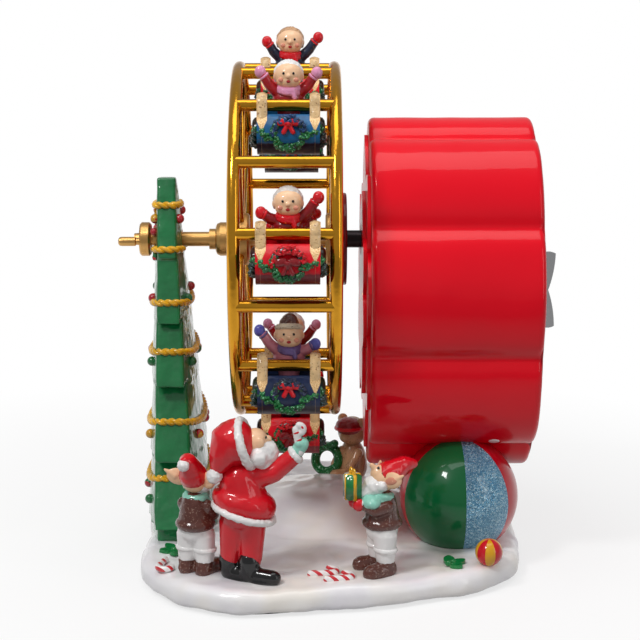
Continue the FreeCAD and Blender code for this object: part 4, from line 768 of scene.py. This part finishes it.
def make_bearded_figure():
    """The stout bearded figure in a red coat, seen from behind, with a striped cane raised in one hand."""
    foot = Vector((-22.0, -101.0, SNOW_TOP - 1.0))

    def at(x, y, z):
        return foot + Vector((x, y, z))
    boots = []
    for x, y, heading in ((-6.0, 1.5, -30), (4.0, -3.5, -22)):
        toe = level(heading)
        boots += [limb(at(x, y, 4.4), at(x, y, 11.0), 5.0, 5.4),
                  limb(at(x, y, 3.6), at(x, y, 3.4) + toe * 13.0, 4.4, 3.9),
                  ball(at(x, y, 1.4) + toe * 6.0, 6.0, (1.75, 0.8, 0.25), turned(math.radians(heading), "Z"))]
    trousers = [limb(at(-5.4, 1.2, 11), at(-3.8, 0.8, 30), 5.3, 7.2),
                limb(at(5.0, -2.4, 11), at(5.4, -1.2, 30), 5.3, 7.2), ball(at(1.6, -0.4, 34), 11.0, (1.1, 0.9, 0.8))]
    coat = [limb(at(1.2, 0.4, 40), at(-0.6, 0, 50), 13.0, 10.2),
            ball(at(1.6, 0.2, 40), 14.6, (1.14, 1.0, 0.62), turned(0.30)),
            ball(at(0.6, 0, 54), 8.4, (1.25, 0.95, 0.8)), limb(at(7.0, -0.5, 52.5), at(17.0, -1.5, 56.0), 6.2, 5.2),
            limb(at(17.0, -1.5, 56.0), at(26.0, -2.0, 63.4), 5.0, 4.2),
            limb(at(-6.0, 3.0, 54.0), at(-2.0, 9.0, 46.0), 5.0, 4.4)]
    hem = [ring(at(1.4, 0.4, 34.6), (0.29, 0.03, 1), 15.0, 1.9)]
    cuffs = [ring(at(26.9, -2.0, 64.4), (0.77, 0, 0.64), 3.3, 1.75)]
    mitten = [limb(at(27.2, -2.0, 65.0), at(30.2, -2.2, 70.0), 3.3, 3.5), ball(at(28.6, -4.4, 70.4), 2.0)]
    cane_white = [limb(at(29.2, -3.6, 66.0), at(27.2, -3.4, 77.5), 1.9, 1.9),
                  ring(at(28.8, -3.4, 77.6), (0, 1, 0), 1.9, 1.9, 90, 200)]
    cane_red = [ring(at(28.4, -3.55, 72.2), (-0.2, 0.1, 1), 1.25, 0.75),
                ring(at(27.6, -3.5, 76.0), (-0.35, 0.1, 1), 1.3, 0.75),
                ring(at(30.4, -3.4, 78.9), (-0.8, 0.1, -0.6), 1.25, 0.75)]
    skin = [ball(at(7.4, 0.6, 70.4), 6.8, (0.92, 0.95, 1.0)), ball(at(13.6, 0.2, 71.8), 1.9),
            ball(at(9.6, -5.0, 71.0), 2.4, (1, 0.5, 1.2))]
    beard = [limb(at(9.2, 0.4, 66.0), at(12.6, 0.2, 57.0), 7.2, 4.8), ball(at(13.0, 0.2, 64.8), 5.8, (1, 1, 1.15)),
             ball(at(9.2, -4.6, 63.4), 4.8), ball(at(9.0, 4.8, 63.4), 4.8),
             limb(at(13.2, 0.4, 59.5), at(17.0, 0.4, 56.2), 3.4, 2.1)]
    hat_fur = [ring(at(2.6, 0.2, 69.4), (0.93, -0.12, 0.28), 11.6, 2.3)]
    hat = [ball(at(-2.6, 0.0, 70.0), 11.8, (0.86, 0.94, 1.02)),
           limb(at(-4.6, -0.6, 71.0), at(-7.6, -2.4, 65.0), 10.2, 7.8),
           limb(at(-7.6, -2.4, 65.0), at(-10.8, -3.8, 58.5), 7.8, 4.0)]
    pompom = [ball(at(-12.6, -5.0, 54.6), 4.0)]
    eyes = [ball(at(12.6, side * 2.6 + 0.4, 73.2), 0.9, (0.6, 1, 1)) for side in SIDES]
    assemble("bearded_figure", sculpted(
        (boots, black_paint, 0.6, 4), (trousers, red_paint, 0.7, 4), (coat, red_paint, 0.7, 5, 0.25, 0.16),
        (hem, white_paint, 0.6, 2, 0.35, 0.5), (cuffs, white_paint, 0.5, 1, 0.35, 0.9), (mitten, mint_paint, 0.5, 3),
        (cane_white, white_paint, 0.4, 2), (cane_red, red_paint, 0.3, 1), (skin, skin_paint, 0.5, 3),
        (beard, white_paint, 0.55, 3, 0.5, 0.32), (hat_fur, white_paint, 0.55, 1, 0.45, 0.5),
        (hat, red_paint, 0.7, 5, 0.35, 0.14), (pompom, white_paint, 0.45, 1, 0.45, 0.7),
        (eyes, black_paint, 0.25, 1)), "stand", replaced=("figure_red_coat",))


def make_elf(name, x, y, heading, look_up, gift, replaced):
    """A small bearded elf with big pointed ears, a long soft hat, a scarf, a short coat and rolled breeches."""
    foot = Vector((x, y, SNOW_TOP - 0.8))
    ahead = level(heading)
    aside = Vector((-ahead.y, ahead.x, 0))
    body_turn = turned(math.radians(heading), "Z")

    def at(forward, sideways, up):
        return foot + ahead * forward + aside * sideways + UP * up
    head = at(-0.5, 0, 49.0)
    brow = (ahead * (1 - 0.45 * look_up) + UP * (0.15 + 0.75 * look_up)).normalized()
    down = (UP * (-1 + 0.3 * look_up) + ahead * (0.35 + 0.55 * look_up)).normalized()
    back = (UP * (1 - 0.55 * look_up) - ahead * (0.35 + 0.8 * look_up)).normalized()
    crown = head + back * 2.6
    legs = []
    coat = [limb(at(0, 0, 28.4), at(-0.4, 0, 36.5), 9.0, 7.0), ball(at(0, 0, 26.6), 10.3, (1, 1, 0.45))]
    beard = [ball(head + down * 5.0 + ahead * 1.5, 5.6),
             limb(head + down * 6.0 + ahead * 2.0, head + down * 10.5 + ahead * 4.4, 4.6, 2.6)]
    shoes, rolls, mittens, cuffs, ears, hollows = [], [], [], [], [], []
    for side in SIDES:
        toe = level(heading + side * 14)
        heel = at(0, side * 4.9, 0)
        shoes += [limb(heel + UP * 3.2 - toe * 1.5, heel + UP * 2.8 + toe * 9.0, 4.7, 4.3),
                  limb(heel + UP * 3.8, heel + UP * 7.4, 4.6, 4.7)]
        legs.append(limb(heel + UP * 8.0, at(0, side * 4.1, 21.0), 4.8, 6.2))
        rolls.append(ring(heel + UP * 13.6, (0.05, 0, 1), 4.7, 1.5))
        shoulder = at(0, side * 6.4, 36.0)
        palm = at(12.0, side * 2.8, 37.5) if gift else at(8.0, side * 5.0, 30.0)
        elbow = shoulder.lerp(palm, 0.5) + aside * (side * 2.0) - UP * 2.0
        coat += [limb(shoulder, elbow, 3.5, 3.2), limb(elbow, palm, 3.2, 2.7)]
        mittens.append(ball(palm + ahead * 1.8, 3.1, (1, 0.9, 1.1)))
        cuffs.append(ring(palm, palm - elbow, 2.2, 0.9))
        lobe = head + aside * (side * 6.0)
        away = (aside * side * 0.85 - ahead * 0.45 + UP * 0.30).normalized()
        flat = away.cross(UP).normalized()
        turn = Matrix((away, flat, away.cross(flat))).transposed()
        ears += [ball(lobe + away * 2.8, 4.3, (1.45, 0.40, 1.0), turn),
                 limb(lobe + away * 4.6, lobe + away * 10.0 + UP * 1.6, 2.3, 0.6)]
        hollows.append(ball(lobe + away * 3.2 + flat * (side * 1.2), 2.6, (1.5, 0.42, 0.8), turn))
        beard.append(ball(head + down * 3.6 - aside * (side * 4.6), 3.2))
    legs.append(ball(at(0, 0, 22.5), 8.2, (1, 1, 0.8)))
    skin = [ball(head, 6.7), ball(head + brow * 3.6, 4.4), limb(head + brow * 6.0, head + brow * 9.6, 2.0, 1.25)]
    hair = [ball(head - brow * 1.4 + UP * 2.4, 6.7, (1, 1, 0.8))]
    hat = [ball(crown, 7.3, (1, 1, 0.95)), limb(crown + back * 2.0, crown + back * 9.5, 6.6, 4.6),
           limb(crown + back * 9.5, crown + back * 13.5 - ahead * 2.2 - UP * 2.0, 4.6, 2.4)]
    eyes = [ball(head + brow * 5.8 + aside * (side * 2.6) + UP * 1.9, 0.75) for side in SIDES]
    scarf = [ring(at(1.0, 0, 40.6), -ahead * 0.15 + UP, 5.0, 2.1), ring(at(1.6, 0, 38.6), ahead * 0.1 + UP, 5.3, 1.8)]
    if gift:
        scarf += [ball(at(7.6, 1.0, 38.4), 7.4, (0.75, 1.2, 0.58), body_turn),
                  limb(at(5.0, -4.0, 38.5), at(8.0, -5.6, 33.6), 3.2, 2.6),
                  limb(at(5.0, 4.0, 38.5), at(7.0, 5.0, 34.0), 3.0, 2.4)]
        held = gift_groups(at(16.0, 0, 46.5), body_turn)
    else:
        scarf.append(limb(at(4.0, -4.0, 38.0), at(4.0, -7.4, 27.0), 2.2, 2.6))
        held = sculpted(([ball(crown + back * 13.5 - ahead * 3.0 - UP * 4.0, 3.1)], white_paint, 0.4, 1, 0.3, 0.8))
    assemble(name, sculpted(
        (shoes, brown_paint, 0.5, 3, 0.16, 0.5), (legs, white_paint, 0.5, 4),
        (rolls, white_paint, 0.42, 2, 0.12, 0.5), (coat, brown_paint, 0.5, 3, 0.2, 0.3),
        (cuffs, white_paint, 0.4, 1, 0.15, 0.9), (mittens, red_paint, 0.42, 2),
        (skin, skin_paint, 0.42, 3), (ears, skin_paint, 0.36, 2), (hollows, blush_paint, 0.3, 1),
        (beard, white_paint, 0.45, 2, 0.35, 0.4), (hair, auburn_paint, 0.45, 2, 0.3, 0.6),
        (hat, red_paint, 0.5, 5, 0.3, 0.2), (scarf, mint_paint, 0.42, 2, 0.25, 0.35),
        (eyes, black_paint, 0.2, 1)) + held, "stand", replaced=(replaced,))


def soft_box(centre, turn, size, edge):
    """A box with rounded edges."""
    mesh = bmesh.new()
    matrix = Matrix.Translation(centre) @ turn.to_4x4() @ Matrix.Diagonal(Vector(size)).to_4x4()
    bmesh.ops.create_cube(mesh, size=1.0, matrix=matrix)
    bmesh.ops.bevel(mesh, geom=mesh.edges[:], offset=edge, segments=3, affect="EDGES")
    return as_data(mesh, "box")


def gift_groups(centre, turn):
    """A green parcel with gold ribbon round both ways and two loops on top."""
    along, across = turn @ Vector((1, 0, 0)), turn @ Vector((0, 1, 0))
    loops = [ring(centre + UP * 7.6 + across * (side * 1.9), along, 1.4, 0.6) for side in SIDES]
    return [(soft_box(centre, turn, (7.6, 7.6, 12.6), 0.7), green_paint),
            (soft_box(centre, turn, (8.2, 1.7, 13.2), 0.25), gold_paint),
            (soft_box(centre, turn, (1.7, 8.2, 13.2), 0.25), gold_paint)] + sculpted((loops, gold_paint, 0.3, 1))


def make_bear_cap():
    """A dark red knitted cap on the toy bear, with a rolled edge."""
    low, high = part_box("teddy_bear")
    top = Vector(((low[0] + high[0]) / 2, (low[1] + high[1]) / 2, high[2])) * 1000
    crown = [ball(top - UP * 5.2, 8.0, (1, 1, 0.66))]
    edge = [ring(top - UP * 6.2, (0, 0.05, 1), 7.4, 1.2)]
    assemble("bear_cap", sculpted((crown, dark_red_paint, 0.4, 2, 0.25, 0.9), (edge, red_paint, 0.35, 1, 0.2, 1.4)),
             "stand")


# Main cast forms that are softer than their solids
HOUSING_FRONT = 43.4
HOUSING_REAR = 131.0
HOUSING_EDGE = 3.0
HOUSING_WALL = 4.0
PRESS_DEPTH = 1.2
# The housing's white painted dot lies on the sight line from the camera to this place
EYE = Vector((12.1, -834.7, 278.7))
DOT_AIM = Vector((107.1, -60.0, 71.6))


def make_housing():
    """The lobed housing, cast by hand: rounder lobes and deeper grooves than a machined shell has."""
    line = [(HOUSING_FRONT, 0, 1), (HOUSING_FRONT, HOUSING_EDGE, 0)]
    quarter = [math.radians(15 * step) for step in range(7)]
    line += [(HOUSING_FRONT + HOUSING_EDGE * (1 - math.cos(turn)), HOUSING_EDGE * (1 - math.sin(turn)), 0)
             for turn in quarter[1:]]
    line += [(HOUSING_REAR - HOUSING_EDGE * (1 - math.sin(turn)), HOUSING_EDGE * (1 - math.cos(turn)), 0)
             for turn in quarter]
    line += [(HOUSING_REAR, HOUSING_WALL, 0), (HOUSING_FRONT + HOUSING_WALL, HOUSING_WALL, 0),
             (HOUSING_FRONT + HOUSING_WALL, HOUSING_WALL, 1), (HOUSING_FRONT, 0, 1)]
    shell = grow(line, False, shell_group, red_lacquer, HOUSING)
    mesh = bmesh.new()
    mesh.from_mesh(shell)
    bmesh.ops.recalc_face_normals(mesh, faces=mesh.faces)
    mesh.to_mesh(shell)
    skin = BVHTree.FromBMesh(mesh)
    mesh.free()
    spot, normal = skin.ray_cast(EYE, (DOT_AIM - EYE).normalized())[:2]
    dot = [ball(spot, 2.7, (1.12, 0.95, 0.22), facing(normal))]
    assemble("lobed_housing", [(shell, red_lacquer)] + sculpted((dot, white_paint, 0.25, 2)), "stand",
             replaced=("housing",))


def in_housing(y, z):
    """Whether a place is well inside the housing's lobed outline."""
    rise = z - HOUSING["Centre Height"]
    turn = math.atan2(rise / HOUSING["Half Height"], -y / HOUSING["Half Depth"])
    swing = (turn - math.radians(HOUSING["Phase"])) * HOUSING["Lobes"] / 2
    square = math.cos(swing) ** 2
    drop = (1 - math.sqrt(square + HOUSING["Groove Round"])) * HOUSING["Groove Depth"]
    roll = HOUSING["Roll Depth"] / (1 + square / HOUSING["Roll Width"])
    reach = math.hypot(y / (HOUSING["Half Depth"] - PRESS_DEPTH), rise / (HOUSING["Half Height"] - PRESS_DEPTH))
    return reach < 1 - drop - roll


BALL_BLUE, BALL_RED, BALL_GREEN = "5E9CBE", "C4001A", "005C30"
BALL_PANELS = ((0.0, BALL_BLUE), (0.132, BALL_RED), (0.30, BALL_GREEN), (0.47, BALL_BLUE), (0.61, BALL_RED),
               (0.80, BALL_GREEN))
BALL_GLITTER = ((0.0, 1), (0.132, 0), (0.47, 1), (0.61, 0))
SNOW_FLOOR = 2.0
LOBES_FOOT = 45.0


def make_toy_balls():
    """Two big painted balls that carry the housing; each one's top is pressed in under the lobes."""
    for name, centre, radius, replaced in (("toy_ball_front", (91.5, -37.0, 36.0), 31.5, ("toy_balls",)),
                                           ("toy_ball_rear", (92.0, 44.8, 38.0), 30.2, ())):
        mesh = bmesh.new()
        bmesh.ops.create_uvsphere(mesh, u_segments=80, v_segments=56, radius=radius,
                                  matrix=Matrix.Translation(centre))
        for vertex in mesh.verts:
            while vertex.co.z > LOBES_FOOT and in_housing(vertex.co.y, vertex.co.z):
                vertex.co.z -= 0.25
            vertex.co.z = max(vertex.co.z, SNOW_FLOOR)
        paint = panel_ball_paint(name, centre, 2.1, BALL_PANELS, BALL_GLITTER)
        assemble(name, [(as_data(mesh, name), paint)], "stand", replaced=replaced)


TREE_X = -62.0
GARLAND_HEIGHTS = (188.0, 164.5, 136.0, 109.5, 71.5, 40.5)
SWAG_RADIUS = 150.0
ROSETTE_ROOM = 9.5
EASING = range(-3, 4)
SHORTEST_RUN = 8


def garland_line(skin, height):
    """An eased line of points round the tree that swags across both faces."""
    points = []
    for step in range(200):
        away = level(360 * step / 200)
        z = height
        for _ in range(4):
            spot, normal = skin.ray_cast(Vector((TREE_X, 0, z)) + away * 90, -away)[:2]
            if spot is None:
                break
            z = height + SWAG_RADIUS - math.sqrt(SWAG_RADIUS ** 2 - spot.y ** 2)
        if spot is not None:
            points.append(spot + normal * 0.5)
    return [sum((points[(index + shift) % len(points)] for shift in EASING), Vector()) / len(EASING)
            for index in range(len(points))]


def garland_lines():
    """The garlands as (points, closed), broken where the axle's rosettes sit."""
    mesh = cad_skin("tree")
    skin = BVHTree.FromBMesh(mesh)
    mesh.free()
    lines = []
    for height in GARLAND_HEIGHTS:
        points = garland_line(skin, height)
        kept = [math.hypot(point.y, point.z - AXLE_HEIGHT) > ROSETTE_ROOM for point in points]
        if all(kept):
            lines.append((points, True))
            continue
        run = []
        first = kept.index(False)
        for shift in range(1, len(points) + 1):
            index = (first + shift) % len(points)
            if kept[index]:
                run.append(points[index])
            else:
                if len(run) > SHORTEST_RUN:
                    lines.append((run, False))
                run = []
    return lines


TWIST_PITCH = 8.5


def make_tree():
    """The fir, cast in soft skirts under thick green varnish, with gold cords of two strands wound round it."""
    assemble("fir_tree", [(melt(cad_skin("tree"), 0.85, 7, 0.3, 0.09), tree_paint)], "stand",
             replaced=("tree",))
    groups = []
    for line, closed in garland_lines():
        length = sum((line[index] - line[index - 1]).length for index in range(0 if closed else 1, len(line)))
        sizes = {"Cord Radius": 0.85, "Strand Radius": 1.2, "Pitch": length / max(1, round(length / TWIST_PITCH)),
                 "Step": 0.8}
        groups += [(grow(line, closed, cord_group, gold_paint, {"Turn Share": share, **sizes}), gold_paint)
                   for share in (0.0, 0.5)]
    assemble("garland_cords", groups, "stand", replaced=("tree_garlands",))


def make_snow():
    """The base, cast as trodden snow: soft mounds and a rounded, uneven edge."""
    assemble("snow_mound", [(melt(cad_skin("snow_base"), 1.2, 8, 1.3, 0.045), snow_finish)], "stand",
             replaced=("snow_base",))


finish(felt(), "underside_felt")
finish(gold_plate, "ring_front", "ring_rear", "gondola_rungs", "brace_rungs", "spokes_front", "spokes_rear")
finish(satin_brass, "tree_bush", "hub_front", "hub_rear", "axle", "axle_collar", "crank_disc", "crank_pin")
finish(disc_lacquer, "wheel_disc")
finish(black_steel, "drive_shaft")
finish(red_lacquer, "housing_petals")
finish(cover_lacquer, "movement_cover")
finish(movement_brass, "wheel_gear", "spring_barrel", "music_cylinder", "governor", "housing_bush")
finish(movement_zinc, "bedplate")
finish(spring_steel, "mainspring")
finish(plain_steel, "comb", "comb_screws", "cover_screws")
finish(bright_nickel, "winding_key")
finish(ornament_paint(), "tree_ornaments")
finish(candy_paint(), "candy_canes")
finish(green_paint, "holly_sprigs")
finish(tan_paint, "teddy_bear")
finish(wreath_green, "wreath")
stripes = [(start, "CC1022" if index % 2 else "DDA21A")
           for index, start in enumerate((0.0, 0.12, 0.25, 0.38, 0.5, 0.62, 0.75, 0.88))]
finish(panel_ball_paint("striped_ball", (103, -82, 19.2), -22, stripes, [(0.0, 0), (0.5, 0)]), "striped_ball")

make_bear_cap()
make_snow()
make_tree()
make_housing()
make_toy_balls()
dress_cars()
seat_riders()
make_bearded_figure()
make_elf("elf_by_the_tree", -45.0, -93.0, 65, 0.2, False, "elf_left")
make_elf("elf_with_a_gift", 48.0, -92.0, 200, 0.8, True, "elf_right")


# Stage, camera and light
def make_floor():
    """Pale paper that takes the shadow and, beyond it, runs out into the same white as the backdrop."""
    half = 3.0
    mesh = bpy.data.meshes.new("floor")
    mesh.from_pydata([(-half, -half, 0), (half, -half, 0), (half, half, 0), (-half, half, 0)], [], [(0, 1, 2, 3)])
    floor = as_object("floor", mesh)
    material, tree, shader, place = new_material("pale_studio_floor")
    plug(tree, shader, {"Base Color": colour("F7F7F7"), "Roughness": 0.7, "Specular IOR Level": 0.0})
    distance = add(tree, "ShaderNodeVectorMath", {"operation": "LENGTH"}, {0: place}).outputs["Value"]
    # The eye and mirrors see that white behind the object, and mirrors see it fall off towards the camera's side
    path = add(tree, "ShaderNodeLightPath").outputs
    rear = span(tree, split(tree, place)[1], -0.5, -0.12, 0.3, 1.0)
    strength = maths(tree, "MAXIMUM", path["Is Camera Ray"], maths(tree, "MULTIPLY", path["Is Glossy Ray"], rear))
    white = made(tree, "ShaderNodeEmission", inputs={"Color": (1, 1, 1, 1), "Strength": strength})
    seen = made(tree, "ShaderNodeMixShader", inputs={0: span(tree, distance, 0.17, 0.42, 0.7, 1.0),
                                                     1: shader.outputs[0], 2: white})
    plug(tree, next(node for node in tree.nodes if node.type == "OUTPUT_MATERIAL"), {"Surface": seen})
    mesh.materials.append(material)


def make_camera():
    """The photograph's own eye point, fitted to the wheel's rods, the base and the axle."""
    data = bpy.data.cameras.new("camera")
    data.lens = 87.1
    data.sensor_width = 36.0
    data.clip_end = 20.0
    camera = as_object("camera", data)
    camera.location = (0.01212, -0.8347, 0.2787)
    camera.rotation_euler = (math.radians(90 - 10.485), 0, math.radians(-0.375))
    bpy.context.scene.camera = camera


def make_light(name, place, target, width, height, power, mirrored=False):
    """A softbox; only one that is mirrored draws highlights in the gloss."""
    data = bpy.data.lights.new(name, "AREA")
    data.shape = "RECTANGLE"
    data.size = width
    data.size_y = height
    data.energy = power
    lamp = as_object(name, data)
    lamp.visible_glossy = mirrored
    lamp.location = place
    lamp.rotation_euler = (Vector(target) - Vector(place)).to_track_quat("-Z", "Y").to_euler()


def make_world():
    """A white backdrop, which glossy surfaces mirror too, while the room on the camera's side stays dim."""
    world = bpy.data.worlds.new("studio")
    world.use_nodes = True
    tree = world.node_tree
    tree.nodes.clear()
    path = add(tree, "ShaderNodeLightPath").outputs
    direction = split(tree, add(tree, "ShaderNodeTexCoord").outputs["Generated"])

    def eased(value, start, end, high):
        """A soft step of a value from 0 to a height."""
        return made(tree, "ShaderNodeMapRange", {"interpolation_type": "SMOOTHSTEP"},
                    {"Value": value, "From Min": start, "From Max": end, "To Min": 0.0, "To Max": high})

    behind = eased(direction[1], -0.35, 0.45, 1.0)
    low = eased(direction[2], 0.30, 0.04, 0.6)
    mirror = maths(tree, "MULTIPLY", path["Is Glossy Ray"], maths(tree, "MULTIPLY_ADD", behind, low, 0.4))
    seen = maths(tree, "MAXIMUM", path["Is Camera Ray"], path["Is Transmission Ray"])
    diffuse = maths(tree, "MULTIPLY", path["Is Diffuse Ray"], 0.28)
    strength = maths(tree, "MAXIMUM", maths(tree, "MAXIMUM", seen, mirror), diffuse)
    background = made(tree, "ShaderNodeBackground", inputs={"Color": (1, 1, 1, 1), "Strength": strength})
    add(tree, "ShaderNodeOutputWorld", inputs={"Surface": background})
    bpy.context.scene.world = world


make_floor()
make_camera()
make_light("key_softbox", (-0.55, -0.62, 1.05), (0.0, 0, 0.15), 0.22, 0.22, 6.2, mirrored=True)
make_light("fill_softbox", (0.95, -0.75, 0.5), (0.02, 0, 0.15), 0.3, 0.9, 2.0, mirrored=True)
make_light("front_softbox", (-0.15, -1.3, 0.5), (0.0, 0, 0.15), 0.6, 0.6, 2.0)
make_light("top_softbox", (0.05, -0.12, 1.2), (0.0, 0, 0.1), 0.8, 0.6, 3.8, mirrored=True)
make_light("back_softbox", (0.3, 1.0, 0.7), (0.0, 0, 0.15), 0.9, 0.6, 2.4)
make_world()
bpy.context.scene.view_settings.view_transform = "Standard"
